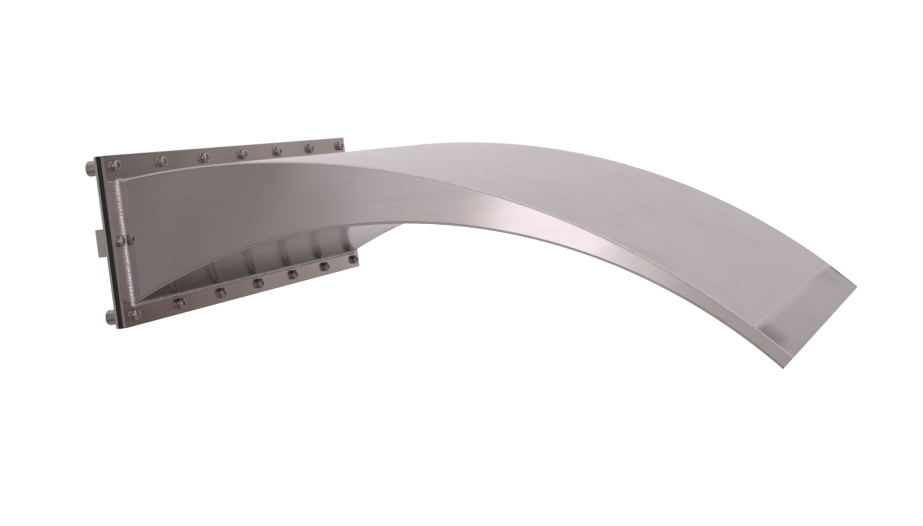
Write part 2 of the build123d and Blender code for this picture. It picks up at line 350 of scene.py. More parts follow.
def mesh_object(name: str, skins: Sequence[Skin], crease: float = 35.0) -> bpy.types.Object:
    """One mesh object from skins, smooth apart from edges sharper than crease.

    Args:
        name: the piece's name.
        skins: closed skins, whose faces are turned outwards here.
        crease: angle in degrees from which an edge is sharp.

    Returns:
        The object, linked to the scene at the origin.
    """
    skins = [outward(s) for s in skins]
    starts = np.cumsum([0] + [len(s.points) for s in skins])
    points = np.concatenate([s.points for s in skins])
    loops = np.concatenate([(g + a).ravel() for s, a in zip(skins, starts) for g in s.groups])
    sizes = np.concatenate([np.full(len(g), g.shape[1]) for s in skins for g in s.groups])
    uvs = np.concatenate([u.reshape(-1, 2) for s in skins for u in s.uvs])
    mesh = bpy.data.meshes.new(name)
    mesh.vertices.add(len(points))
    mesh.vertices.foreach_set("co", points.astype(np.float32).ravel())
    mesh.loops.add(len(loops))
    mesh.loops.foreach_set("vertex_index", loops.astype(np.int32))
    mesh.polygons.add(len(sizes))
    firsts = np.concatenate([[0], np.cumsum(sizes)[:-1]])
    mesh.polygons.foreach_set("loop_start", firsts.astype(np.int32))
    mesh.update(calc_edges=True)
    mesh.uv_layers.new(name=UV_NAME).data.foreach_set("uv", uvs.astype(np.float32).ravel())
    rim = mesh.attributes.new(RIM_NAME, "FLOAT", "POINT")
    rim.data.foreach_set("value", np.concatenate([s.rim for s in skins]).astype(np.float32))
    mesh.polygons.foreach_set("use_smooth", np.ones(len(sizes), bool))
    mesh.set_sharp_from_angle(angle=math.radians(crease))
    mesh.validate()
    made = bpy.data.objects.new(name, mesh)
    bpy.context.scene.collection.objects.link(made)
    return made


def softened_copy(name: str, node: str, width: float) -> bpy.types.Object:
    """A CAD node's mesh, merged, with its sharp edges bevelled.

    Args:
        name: the piece's name.
        node: the CAD node to copy.
        width: width of the bevel, in metres.

    Returns:
        The new object.
    """
    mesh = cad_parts[node].data.copy()
    mesh.name = name
    work = bmesh.new()
    work.from_mesh(mesh)
    bmesh.ops.remove_doubles(work, verts=work.verts, dist=1e-6)
    bmesh.ops.dissolve_limit(work, angle_limit=math.radians(0.2), verts=work.verts,
                             edges=work.edges)
    work.to_mesh(mesh)
    work.free()
    mesh.materials.clear()
    mesh.polygons.foreach_set("use_smooth", np.zeros(len(mesh.polygons), bool))
    made = bpy.data.objects.new(name, mesh)
    bpy.context.scene.collection.objects.link(made)
    bevel = made.modifiers.new("soft_edges", "BEVEL")
    bevel.width = width
    bevel.segments = 2
    bevel.limit_method = "ANGLE"
    bevel.angle_limit = math.radians(40)
    bevel.use_clamp_overlap = False
    bevel.harden_normals = False
    return made


# ------------------------------------------------------------------ node trees
class Wires:
    """Short calls that add and join the nodes of one tree."""

    def __init__(self, tree: bpy.types.NodeTree) -> None:
        """Keeps the tree."""
        self.tree = tree

    def add(self, kind: str, **values: object) -> bpy.types.Node:
        """Adds a node; a value goes to a property, or to a socket if it is linked.

        Args:
            kind: the node's type, such as ShaderNodeMath.
            values: property=value, or s0=value and so on for input sockets.

        Returns:
            The node.
        """
        node = self.tree.nodes.new(kind)
        for key, value in values.items():
            if key[0] == "s" and key[1:].isdigit():
                self.feed(node.inputs[int(key[1:])], value)
            else:
                setattr(node, key, value)
        return node

    def feed(self, socket: bpy.types.NodeSocket, value: object) -> None:
        """Links an output to a socket, or sets the socket's own value."""
        if isinstance(value, bpy.types.NodeSocket):
            self.tree.links.new(value, socket)
        else:
            socket.default_value = value

    def sum(self, operation: str, a: object, b: object = 0.0, c: object = 0.0,
            clamp: bool = False) -> bpy.types.NodeSocket:
        """One Math node's output."""
        return self.add("ShaderNodeMath", operation=operation, use_clamp=clamp,
                        s0=a, s1=b, s2=c).outputs[0]

    def noise(self, vector: object, scale: float, detail: float = 2.0,
              rough: float = 0.5) -> bpy.types.NodeSocket:
        """A noise texture's value, 0 to 1."""
        node = self.add("ShaderNodeTexNoise")
        self.feed(node.inputs["Vector"], vector)
        self.feed(node.inputs["Scale"], scale)
        self.feed(node.inputs["Detail"], detail)
        self.feed(node.inputs["Roughness"], rough)
        return node.outputs[0]

    def ranged(self, value: object, low: float, high: float, to_low: object = 0.0,
               to_high: object = 1.0) -> bpy.types.NodeSocket:
        """A value moved from one range to another on a smooth step."""
        return self.add("ShaderNodeMapRange", interpolation_type="SMOOTHSTEP", s0=value,
                        s1=low, s2=high, s3=to_low, s4=to_high).outputs[0]

    def mixed(self, share: object, first: object, second: object,
              blend: str = "MIX") -> bpy.types.NodeSocket:
        """A colour mix's output."""
        node = self.add("ShaderNodeMix", data_type="RGBA", blend_type=blend)
        self.feed(node.inputs[0], share)
        for socket, value in ((node.inputs[6], first), (node.inputs[7], second)):
            self.feed(socket, (*value, 1.0) if isinstance(value, tuple) else value)
        return node.outputs[2]

    def group(self, tree: bpy.types.NodeTree, **values: object) -> bpy.types.Node:
        """Places a shared group and feeds its inputs by name."""
        node = self.add("ShaderNodeGroup", node_tree=tree)
        for key, value in values.items():
            self.feed(node.inputs[key.replace("_", " ")], value)
        return node


class Effects:
    """The shared effects, each a node group that is built once."""

    COARSER = (0.35, 0.14, 0.14)
    FINE_RANGE: Span = (0.25, 0.75)
    STREAK_RANGE: Span = (0.3, 0.7)
    CLOUD_RANGE: Span = (0.35, 0.65)
    SMUDGE_RANGE: Span = (0.52, 0.72)
    SMUDGE_SCALE = 4.3
    SPOT_RANGE: Span = (0.1, 0.5)
    GRIT_SCALE = 2.0
    _built: dict[str, bpy.types.NodeTree] = {}

    @classmethod
    def _new(cls, name: str, inputs: Sequence[tuple[str, str, object]],
             outputs: Sequence[str]) -> tuple[bpy.types.NodeTree, Wires,
                                              bpy.types.Node, bpy.types.Node]:
        """Starts a group.

        Args:
            name: the group's name.
            inputs: (name, socket type, value) of each input.
            outputs: names of the outputs, all of them values.

        Returns:
            The tree, its wires, its input node and its output node.
        """
        tree = bpy.data.node_groups.new(name, "ShaderNodeTree")
        for label, kind, value in inputs:
            socket = tree.interface.new_socket(label, in_out="INPUT", socket_type=kind)
            if kind != "NodeSocketVector" or value is not None:
                socket.default_value = value
        for label in outputs:
            tree.interface.new_socket(label, in_out="OUTPUT", socket_type="NodeSocketFloat")
        wires = Wires(tree)
        cls._built[name] = tree
        return tree, wires, wires.add("NodeGroupInput"), wires.add("NodeGroupOutput")

    @classmethod
    def grain(cls) -> bpy.types.NodeTree:
        """Brushed grain: noise drawn out along the brushing, fine and coarse.

        Returns:
            The group, with the outputs Fine and Streak, 0 to 1.
        """
        if "brushed_grain" in cls._built:
            return cls._built["brushed_grain"]
        tree, w, source, sink = cls._new(
            "brushed_grain", [("Vector", "NodeSocketVector", None),
                              ("Stretch", "NodeSocketVector", (1.0, 1.0, 1.0))],
            ["Fine", "Streak"])
        spread = w.add("ShaderNodeVectorMath", operation="MULTIPLY",
                       s0=source.outputs[0], s1=source.outputs[1]).outputs[0]
        coarse = w.add("ShaderNodeVectorMath", operation="MULTIPLY", s0=spread,
                       s1=cls.COARSER).outputs[0]
        fine = w.noise(spread, scale=1.0, detail=3.0, rough=0.65)
        streak = w.noise(coarse, scale=1.0, detail=2.0, rough=0.55)
        w.feed(sink.inputs[0], w.ranged(fine, *cls.FINE_RANGE))
        w.feed(sink.inputs[1], w.ranged(streak, *cls.STREAK_RANGE))
        return tree

    @classmethod
    def clouds(cls) -> bpy.types.NodeTree:
        """Soft clouds: slow changes of tone, as handling leaves on bare sheet.

        Returns:
            The group, with the outputs Cloud and Smudge, 0 to 1.
        """
        if "sheet_clouds" in cls._built:
            return cls._built["sheet_clouds"]
        tree, w, source, sink = cls._new(
            "sheet_clouds", [("Vector", "NodeSocketVector", None),
                             ("Scale", "NodeSocketFloat", 6.0)], ["Cloud", "Smudge"])
        slow = w.noise(source.outputs[0], source.outputs[1], detail=2.0)
        w.feed(sink.inputs[0], w.ranged(slow, *cls.CLOUD_RANGE))
        scale = w.sum("MULTIPLY", source.outputs[1], cls.SMUDGE_SCALE)
        quick = w.noise(source.outputs[0], scale, detail=4.0, rough=0.6)
        w.feed(sink.inputs[1], w.ranged(quick, *cls.SMUDGE_RANGE))
        return tree

    @classmethod
    def speckle(cls) -> bpy.types.NodeTree:
        """Speckle: small cells and fine noise, for weld metal and rubber.

        Returns:
            The group, with the outputs Spot and Grit, 0 to 1.
        """
        if "speckle" in cls._built:
            return cls._built["speckle"]
        tree, w, source, sink = cls._new(
            "speckle", [("Vector", "NodeSocketVector", None),
                        ("Scale", "NodeSocketFloat", 900.0)], ["Spot", "Grit"])
        cells = w.add("ShaderNodeTexVoronoi")
        w.feed(cells.inputs["Vector"], source.outputs[0])
        w.feed(cells.inputs["Scale"], source.outputs[1])
        w.feed(sink.inputs[0], w.ranged(cells.outputs["Distance"], *cls.SPOT_RANGE, 1.0, 0.0))
        scale = w.sum("MULTIPLY", source.outputs[1], cls.GRIT_SCALE)
        w.feed(sink.inputs[1], w.noise(source.outputs[0], scale, detail=3.0, rough=0.6))
        return tree


class Pattern(Enum):
    """What a finish's pattern follows: the frame's axes, or the piece's own UVs."""

    FRAME = "Object"
    LAID = "UV"


def new_material(name: str) -> tuple[bpy.types.Material, Wires, bpy.types.Node]:
    """A material with one Principled shader.

    Args:
        name: the material's name.

    Returns:
        The material, its wires and the shader.
    """
    material = bpy.data.materials.new(name)
    material.use_nodes = True
    tree = material.node_tree
    tree.nodes.clear()
    wires = Wires(tree)
    shader = wires.add("ShaderNodeBsdfPrincipled")
    target = wires.add("ShaderNodeOutputMaterial")
    tree.links.new(shader.outputs[0], target.inputs[0])
    return material, wires, shader


def coordinates(wires: Wires, pattern: Pattern) -> bpy.types.NodeSocket:
    """The coordinates that a finish's pattern reads."""
    if pattern is Pattern.LAID:
        return wires.add("ShaderNodeUVMap", uv_map=UV_NAME).outputs[0]
    return wires.add("ShaderNodeTexCoord").outputs["Object"]


@dataclass(frozen=True)
class LipPaintedLight:
    """Painted light on the folded lip: painted shade on the grey panel, a painted highlight along
    the bend, and painted shade in the dark right corner.

    Each pair of lengths is where a smooth step starts and stops: the ones named
    side are places on Y, and the others are distances past the fold.
    """

    # painted shade: the panel past the fold is multiplied by this bluish grey, fully on the right
    # side and at 0.70 on the left
    panel: Colour = (0.71, 0.715, 0.735)
    # painted shade: this dark tone makes a wedge in the right corner past the fold, in place of the
    # corner's dark reflection
    corner: Colour = (0.15, 0.118, 0.108)
    panel_shade_start: Span = (1 * MM, 5 * MM)
    panel_shade_side: Span = (-0.25, 0.05)
    panel_shade_left_share: float = 0.70
    # painted highlight: a light band along the bend in the edge colour, stronger on the right side
    bend_highlight_start: Span = (-1.8 * MM, 1.2 * MM)
    bend_highlight_stop: Span = (3 * MM, 7 * MM)
    bend_highlight_side: Span = (0.02, 0.22)
    bend_highlight_share: float = 0.9
    bend_highlight_left_share: float = 0.25
    corner_start: Span = (1 * MM, 6 * MM)
    corner_stop: Span = (16 * MM, 30 * MM)
    corner_shade_side: Span = (-0.225, -0.165)
    corner_shade_share: float = 0.85

    def paint_light_on(self, w: Wires, solid: bpy.types.NodeSocket, colour: bpy.types.NodeSocket,
                edge: Colour) -> bpy.types.NodeSocket:
        """The sheet's colour with the lip's tones on it.

        Args:
            w: wires of the material.
            solid: the frame's coordinates.
            colour: the sheet's colour.
            edge: the colour of the painted highlight along the bend.

        Returns:
            The colour, changed past the fold only.
        """
        past = w.add("ShaderNodeAttribute", attribute_name=PANEL_NAME).outputs["Fac"]
        y = w.add("ShaderNodeSeparateXYZ", s0=solid).outputs[1]
        # painted shade on the panel past the fold
        folded = w.sum("MULTIPLY", w.ranged(past, *self.panel_shade_start),
                       w.ranged(y, *self.panel_shade_side, 1.0, self.panel_shade_left_share))
        colour = w.mixed(folded, colour, w.mixed(1.0, colour, self.panel, "MULTIPLY"))
        # painted highlight along the bend
        bend = w.sum("MULTIPLY", w.ranged(past, *self.bend_highlight_start),
                     w.ranged(past, *self.bend_highlight_stop, self.bend_highlight_share, 0.0))
        bend = w.sum("MULTIPLY", bend, w.ranged(y, *self.bend_highlight_side, 1.0, self.bend_highlight_left_share))
        colour = w.mixed(bend, colour, edge)
        # painted shade in the right corner past the fold
        corner = w.sum("MULTIPLY", w.ranged(y, *self.corner_shade_side, self.corner_shade_share, 0.0),
                       w.ranged(past, *self.corner_start))
        corner = w.sum("MULTIPLY", corner, w.ranged(past, *self.corner_stop, 1.0, 0.0))
        return w.mixed(corner, colour, self.corner)


@dataclass(frozen=True)
class SteelFinish:
    """Bare stainless steel: its tones, its shine and how it was worked."""

    name: str
    light: Colour
    dark: Colour
    roughness: float
    spread: float
    stretch: tuple[float, float, float]
    relief: float
    pattern: Pattern
    anisotropy: float = 0.0
    turn: float = 0.25
    # colour of the painted highlight on softened edges and along the lip's bend
    edge: Colour = (0.86, 0.82, 0.83)
    cloud_scale: float = 6.0
    lip: Optional[LipPaintedLight] = None
    streak_share: float = 0.35
    cloud_share: float = 0.45
    fine_share: float = 0.2
    rim_highlight_share: float = 0.8
    rim_polish: float = 0.25
    streak_relief: float = 0.5

    def material(self) -> bpy.types.Material:
        """Builds the finish.

        Returns:
            The material: streaks and clouds move the tone, the grain moves the
            roughness and the relief, and softened edges are lighter and smoother.
        """
        material, w, shader = new_material(self.name)
        where = coordinates(w, self.pattern)
        solid = coordinates(w, Pattern.FRAME)
        grain = w.group(Effects.grain(), Vector=where, Stretch=self.stretch)
        clouds = w.group(Effects.clouds(), Vector=solid, Scale=self.cloud_scale)
        rim = w.add("ShaderNodeAttribute", attribute_name=RIM_NAME).outputs["Fac"]
        tone = w.sum("MULTIPLY_ADD", grain.outputs["Streak"], self.streak_share,
                     w.sum("MULTIPLY", clouds.outputs["Cloud"], self.cloud_share))
        tone = w.sum("MULTIPLY_ADD", grain.outputs["Fine"], self.fine_share, tone)
        colour = w.mixed(tone, self.dark, self.light)
        if self.lip:
            colour = self.lip.paint_light_on(w, solid, colour, self.edge)
        # painted highlight: softened edges take the lighter edge colour
        colour = w.mixed(w.sum("MULTIPLY", rim, self.rim_highlight_share), colour, self.edge)
        w.feed(shader.inputs["Base Color"], colour)
        shader.inputs["Metallic"].default_value = 1.0
        shine = w.sum("MULTIPLY_ADD", grain.outputs["Fine"], self.spread,
                      self.roughness - self.spread / 2)
        shine = w.sum("MULTIPLY_ADD", clouds.outputs["Smudge"], self.spread, shine)
        shine = w.sum("MULTIPLY_ADD", rim, -self.rim_polish * self.roughness, shine, clamp=True)
        w.feed(shader.inputs["Roughness"], shine)
        height = w.sum("MULTIPLY_ADD", grain.outputs["Streak"], self.streak_relief,
                       grain.outputs["Fine"])
        bump = w.add("ShaderNodeBump")
        bump.inputs["Strength"].default_value = 1.0
        bump.inputs["Distance"].default_value = self.relief
        w.feed(bump.inputs["Height"], height)
        w.feed(shader.inputs["Normal"], bump.outputs[0])
        if self.anisotropy:
            shader.inputs["Anisotropic"].default_value = self.anisotropy
            shader.inputs["Anisotropic Rotation"].default_value = self.turn
            tangent = w.add("ShaderNodeTangent", direction_type="UV_MAP", uv_map=UV_NAME)
            w.feed(shader.inputs["Tangent"], tangent.outputs[0])
        return material


@dataclass(frozen=True)
class WeldFinish:
    """Bare weld metal: bright, pitted, with a little heat colour."""

    name: str
    bright: Colour
    dull: Colour
    heat: Colour
    roughness: float
    relief: float
    spot_scale: float
    cloud_scale: float = 60.0
    heat_share: float = 0.5
    grit_spread: float = 0.3
    polish: float = 0.1
    pit_depth: float = 0.4

    def material(self) -> bpy.types.Material:
        """Builds the finish.

        Returns:
            The material: pits darken the metal, and clouds bring the heat colour.
        """
        material, w, shader = new_material(self.name)
        where = coordinates(w, Pattern.FRAME)
        spots = w.group(Effects.speckle(), Vector=where, Scale=self.spot_scale)
        clouds = w.group(Effects.clouds(), Vector=where, Scale=self.cloud_scale)
        colour = w.mixed(spots.outputs["Spot"], self.bright, self.dull)
        heated = w.sum("MULTIPLY", clouds.outputs["Smudge"], self.heat_share)
        colour = w.mixed(heated, colour, self.heat)
        w.feed(shader.inputs["Base Color"], colour)
        shader.inputs["Metallic"].default_value = 1.0
        w.feed(shader.inputs["Roughness"], w.sum("MULTIPLY_ADD", spots.outputs["Grit"],
                                                 self.grit_spread, self.roughness - self.polish))
        bump = w.add("ShaderNodeBump")
        bump.inputs["Distance"].default_value = self.relief
        pits = w.sum("MULTIPLY", spots.outputs["Spot"], self.pit_depth)
        w.feed(bump.inputs["Height"], w.sum("SUBTRACT", spots.outputs["Grit"], pits))
        w.feed(shader.inputs["Normal"], bump.outputs[0])
        return material


@dataclass(frozen=True)
class RubberFinish:
    """Black sheet rubber with a fine matt skin and a little dust."""

    name: str
    dark: Colour
    dust: Colour
    roughness: float
    relief: float
    grit_scale: float = 1400.0
    grit_spread: float = 0.2
    cloud_scale: float = 40.0
    specular: float = 0.12

    def material(self) -> bpy.types.Material:
        """Builds the finish.

        Returns:
            The material: grit roughens the skin, and smudges carry the dust.
        """
        material, w, shader = new_material(self.name)
        where = coordinates(w, Pattern.FRAME)
        grit = w.group(Effects.speckle(), Vector=where, Scale=self.grit_scale)
        clouds = w.group(Effects.clouds(), Vector=where, Scale=self.cloud_scale)
        dusty = w.sum("MULTIPLY", clouds.outputs["Smudge"], grit.outputs["Grit"])
        w.feed(shader.inputs["Base Color"], w.mixed(dusty, self.dark, self.dust))
        w.feed(shader.inputs["Roughness"], w.sum("MULTIPLY_ADD", grit.outputs["Grit"],
                                                 self.grit_spread,
                                                 self.roughness - self.grit_spread / 2))
        shader.inputs["Specular IOR Level"].default_value = self.specular
        bump = w.add("ShaderNodeBump")
        bump.inputs["Distance"].default_value = self.relief
        w.feed(bump.inputs["Height"], grit.outputs["Grit"])
        w.feed(shader.inputs["Normal"], bump.outputs[0])
        return material


class Finish(Enum):
    """Every finish on the object."""

    SIDE_SHEET = SteelFinish(
        "brushed_side_sheet", (0.60, 0.55, 0.555), (0.53, 0.485, 0.485), 0.13, 0.02,
        (14.0, 1500.0, 1.0), 1.0e-6, Pattern.LAID, 0.95)
    TOP_SHEET = SteelFinish(
        "brushed_top_sheet", (0.62, 0.58, 0.61), (0.57, 0.53, 0.555), 0.30, 0.03,
        (14.0, 1300.0, 1.0), 1.0e-6, Pattern.LAID, 0.6, lip=LipPaintedLight())
    # painted shade: the bottom skin is the same steel as the top, in a copy at about half its tone
    FLOOR_SHEET = SteelFinish(
        "brushed_bottom_sheet_painted_shade", (0.34, 0.31, 0.30), (0.27, 0.24, 0.232), 0.15, 0.05,
        (14.0, 1300.0, 1.0), 1.0e-6, Pattern.LAID, 0.5)
    FLANGE = SteelFinish(
        "ground_flange", (0.56, 0.50, 0.48), (0.43, 0.37, 0.345), 0.17, 0.05,
        (260.0, 12.0, 700.0), 1.0e-6, Pattern.FRAME, cloud_scale=14.0)
    BACKING = SteelFinish(
        "mill_backing", (0.60, 0.57, 0.56), (0.50, 0.465, 0.45), 0.38, 0.08,
        (260.0, 12.0, 500.0), 1.0e-6, Pattern.FRAME, cloud_scale=10.0)
    INNER = SteelFinish(
        "dull_inner_sheet", (0.50, 0.47, 0.46), (0.40, 0.37, 0.36), 0.42, 0.08,
        (300.0, 300.0, 20.0), 1.5e-6, Pattern.FRAME)
    TURNED = SteelFinish(
        "turned_steel", (0.58, 0.545, 0.525), (0.46, 0.42, 0.40), 0.28, 0.08,
        (2600.0, 30.0, 1.0), 2.0e-6, Pattern.LAID)
    SCREW = SteelFinish(
        "screw_steel", (0.68, 0.63, 0.62), (0.52, 0.47, 0.46), 0.26, 0.08,
        (3200.0, 120.0, 1.0), 3.0e-6, Pattern.LAID, cloud_scale=90.0)
    BLOCK = SteelFinish(
        "sawn_block_steel", (0.62, 0.58, 0.56), (0.50, 0.46, 0.44), 0.34, 0.08,
        (40.0, 1200.0, 900.0), 3.0e-6, Pattern.FRAME, cloud_scale=60.0)
    WELD = WeldFinish(
        "bare_weld", (0.98, 0.95, 0.97), (0.50, 0.45, 0.47), (0.62, 0.52, 0.46),
        0.24, 1.2e-4, 700.0)
    GROUND_WELD = WeldFinish(
        "ground_weld", (0.86, 0.82, 0.83), (0.74, 0.70, 0.71), (0.70, 0.62, 0.58),
        0.30, 8.0e-6, 1500.0)
    # painted shade: the bottom seams' weld, a darker copy of the top seams' ground weld
    FLUSH_WELD = WeldFinish(
        "underside_weld_painted_shade", (0.46, 0.42, 0.42), (0.38, 0.34, 0.34), (0.42, 0.36, 0.34),
        0.26, 4.0e-6, 1500.0)
    RUBBER = RubberFinish(
        "gasket_rubber", (0.006, 0.005, 0.007), (0.035, 0.033, 0.038), 0.78, 2.0e-5)

    def material(self) -> bpy.types.Material:
        """The finish's material, built the first time that it is asked for."""
        return bpy.data.materials.get(self.value.name) or self.value.material()


def dress(piece: bpy.types.Object, finish: Finish, slot: str, *nodes: str) -> bpy.types.Object:
    """Gives a new piece its finish and its place in the frame.

    Args:
        piece: the new object, already in place.
        finish: its finish.
        slot: the record's material slot; not used.
        nodes: the CAD nodes that it stands for.

    Returns:
        The piece.
    """
    piece.data.materials.clear()
    piece.data.materials.append(finish.material())
    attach(piece, "root")
    if nodes:
        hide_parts(*nodes)
    LOG.info("%s: %d faces, %s, for %s", piece.name, len(piece.data.polygons),
             finish.value.name, ", ".join(nodes))
    return piece


def dress_node(node: str, finish: Finish) -> None:
    """Gives a CAD node that is shown as it is its finish."""
    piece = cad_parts[node]
    if not piece.data.materials:
        piece.data.materials.append(None)
    for place in range(len(piece.material_slots)):
        piece.material_slots[place].material = finish.material()
    LOG.info("%s: kept, %s", node, finish.value.name)


# ------------------------------------------------------------------ duct
@dataclass(frozen=True)
class Bow:
    """An arc in the XZ plane that bows upwards; angles run from straight up."""

    centre: tuple[float, float]
    radius: float

    @classmethod
    def through(cls, start: tuple[float, float], stop: tuple[float, float], rise: float) -> "Bow":
        """The arc between two points whose middle stands rise above their chord.

        Args:
            start: (x, z) of its first end.
            stop: (x, z) of its second end.
            rise: height of the arc over the chord.

        Returns:
            The arc.
        """
        dx, dz = stop[0] - start[0], stop[1] - start[1]
        chord = math.hypot(dx, dz)
        radius = (chord ** 2 / 4 + rise ** 2) / (2 * rise)
        sink = radius - rise
        return cls(((start[0] + stop[0]) / 2 + dz / chord * sink,
                    (start[1] + stop[1]) / 2 - dx / chord * sink), radius)

    def angle(self, point: tuple[float, float]) -> float:
        """Angle of a point from straight up, growing towards the outlet."""
        return math.atan2(point[0] - self.centre[0], point[1] - self.centre[1])

    def at(self, radius: object, angles: Array) -> Array:
        """Points (x, z) = centre + radius (sin a, cos a)."""
        return np.stack([self.centre[0] + radius * np.sin(angles),
                         self.centre[1] + radius * np.cos(angles)], -1)

    def root(self, radius: float, x: float) -> float:
        """Angle at which the arc of this radius meets the plane at x."""
        return math.asin((x - self.centre[0]) / radius)

    def outlet(self, radius: float, tip: tuple[float, float], inward: tuple[float, float]) -> float:
        """Angle at which the arc of this radius meets the outlet plane.

        Args:
            radius: the arc's radius.
            tip: (x, z) of the outlet's upper edge.
            inward: direction of the outlet plane from there.

        Returns:
            The angle.
        """
        dx, dz = tip[0] - self.centre[0], tip[1] - self.centre[1]
        along = dx * inward[0] + dz * inward[1]
        off = max(along ** 2 - (dx * dx + dz * dz - radius ** 2), 0.0)
        reach = min((-along - math.sqrt(off), -along + math.sqrt(off)), key=abs)
        return self.angle((tip[0] + reach * inward[0], tip[1] + reach * inward[1]))


def raised(points: Array, y: object) -> Array:
    """(x, z) points as (x, y, z) points at one y, or at one y each."""
    return np.stack([points[..., 0], np.broadcast_to(y, points.shape[:-1]), points[..., 1]], -1)


@dataclass
class Duct:
    """The spout's hollow body: two curved skins, two side plates and its insides."""

    face_x: float = 8.5 * MM
    root_top: float = 46.0 * MM
    root_bottom: float = -50.4 * MM
    projection: float = 500.0 * MM
    outlet_drop: float = 181.7 * MM
    outlet_height: float = 10.7 * MM
    top_rise: float = 61.8 * MM
    bottom_rise: float = 81.8 * MM
    half_width: float = 250.0 * MM
    side_thickness: float = 2.0 * MM
    skin_thickness: float = 1.5 * MM
    lip_length: float = 34.8 * MM
    lip_step: float = 3.0 * MM
    lip_step_run: float = 5.0 * MM
    hem_length: float = 6.0 * MM
    hem_depth: float = 1.0 * MM
    bend_run: float = 1.6 * MM
    hem_crease: float = 0.25 * MM
    corner_draw: float = 1.3 * MM
    far_rise: float = 0.75
    corner_reach: float = 9.0 * MM
    corner_inset: float = 3.0 * MM
    corner_start: float = 4.0 * MM
    corner_stop: float = 18.0 * MM
    far_start: float = 0.10
    far_run: float = 0.09
    joint_radius: float = 0.06 * MM
    bead_radius: float = 0.30 * MM
    bead_proud: float = 0.12 * MM
    sheet_waves: float = 0.10 * MM
    root_fade: float = 0.05
    tip_fade: float = 0.08
    side_fade: float = 0.03
    stations: int = 170
    tip: tuple[float, float] = field(init=False)
    top: Bow = field(init=False)
    bottom: Bow = field(init=False)
    inward: tuple[float, float] = field(init=False)
    fold: float = field(init=False)

    def __post_init__(self) -> None:
        """Works out the two arcs, the outlet plane and the fold."""
        self.tip = (self.face_x + self.projection, self.root_top - self.outlet_drop)
        self.top = Bow.through((self.face_x, self.root_top), self.tip, self.top_rise)
        end = self.top.angle(self.tip)
        self.inward = (-math.sin(end), -math.cos(end))
        low = (self.tip[0] + self.outlet_height * self.inward[0],
               self.tip[1] + self.outlet_height * self.inward[1])
        self.bottom = Bow.through((self.face_x, self.root_bottom), low, self.bottom_rise)
        self.fold = end - self.lip_length / self.top.radius

    def run(self, bow: Bow, radius: float, share: Array) -> Array:
        """Points along an arc, from the flange face to the outlet plane.

        Args:
            bow: the arc.
            radius: its radius, or that of an arc beside it.
            share: 0 at the flange face to 1 at the outlet.

        Returns:
            (x, z) points.
        """
        start = bow.root(radius, self.face_x)
        stop = bow.outlet(radius, self.tip, self.inward)
        return bow.at(radius, start + (stop - start) * share)

    def lip_depth(self, along: Array) -> Array:
        """Depth of the top skin under its arc, at a distance past the fold.

        It is 0 up to the fold, drops to the step, climbs to the hem, and stays
        there; the bends are rounded by averaging over a short stretch.

        Args:
            along: distance past the fold, in metres.

        Returns:
            The depth, in metres.
        """
        knots = [0.0, self.lip_step_run, self.lip_length - self.hem_length, self.lip_length]
        depths = [0.0, self.lip_step, self.hem_depth, self.hem_depth]
        window = np.linspace(-self.bend_run, self.bend_run, 15)
        crease = np.exp(-((along - knots[2]) / (0.6 * MM)) ** 2)
        return np.interp(along[:, None] + window, knots, depths).mean(1) + self.hem_crease * crease

    def top_plate(self) -> bpy.types.Object:
        """The top skin with its folded lip.

        The section is carried along the arc, pulled inwards by the lip's depth,
        and is a little narrower past the fold.  Stations are closer at the bends.

        Returns:
            The piece.
        """
        radius = self.top.radius
        reach = (self.fold - self.top.root(radius, self.face_x)) * radius
        along = np.concatenate([np.linspace(-reach, -4 * MM, self.stations),
                                np.linspace(-3.5 * MM, 6 * MM, 34),
                                np.linspace(7 * MM, self.lip_length - 9 * MM, 12),
                                np.linspace(self.lip_length - 8 * MM, self.lip_length, 16)])
        depth = self.lip_depth(along)
        angle = self.fold + along / radius
        high = self.top.at(radius - depth, angle)
        low = self.top.at(radius - depth - self.skin_thickness, angle)
        low[0, 0] = high[0, 0]
        narrow = smooth_step(along / (0.6 * MM) + 0.5) * self.side_thickness / 2
        half = self.half_width - self.side_thickness / 2 - narrow
        skin = loft(raised(low, -half), raised(high, -half), 2 * half[:, None] * Y_AXIS,
                    self.joint_radius, Ring.made(across=72, up=1, corner=2))
        skin, past = self.drawn(self.waved(skin, Z_AXIS, seed=3))
        piece = mesh_object("top_skin", [skin])
        panel = piece.data.attributes.new(PANEL_NAME, "FLOAT", "POINT")
        panel.data.foreach_set("value", past.astype(np.float32))
        return dress(piece, Finish.TOP_SHEET, "brushed_stainless", "top_plate")

    def drawn(self, skin: Skin) -> tuple[Skin, Array]:
        """The top skin, its lip drawn down in one corner and fading at the other.

        The shift is towards the arc's centre, by corner_draw times a bell curve
        across and a rise and fall along the lip, less far_rise times the lip's
        own depth times a smooth step towards the left side.

        Args:
            skin: the skin.

        Returns:
            The skin, and each point's distance past the fold.
        """
        x, y, z = skin.points.T
        dx, dz = x - self.top.centre[0], z - self.top.centre[1]
        past = (np.arctan2(dx, dz) - self.fold) * self.top.radius
        across = np.exp(-((y + self.half_width - self.corner_inset) / self.corner_reach) ** 2)
        before_hem = self.lip_length - self.hem_length - past
        along = (smooth_step(past / self.corner_start)
                 * smooth_step(before_hem / self.corner_stop))
        level = smooth_step((y - self.half_width + self.far_start) / self.far_run)
        shift = self.corner_draw * across * along - self.far_rise * self.lip_depth(past) * level
        toward = np.stack([dx, np.zeros(len(x)), dz], -1) / np.hypot(dx, dz)[:, None]
        rim = np.where(past > self.lip_length - 2 * MM, 0.0, skin.rim)
        return Skin(skin.points - shift[:, None] * toward, skin.groups, skin.uvs, rim), past

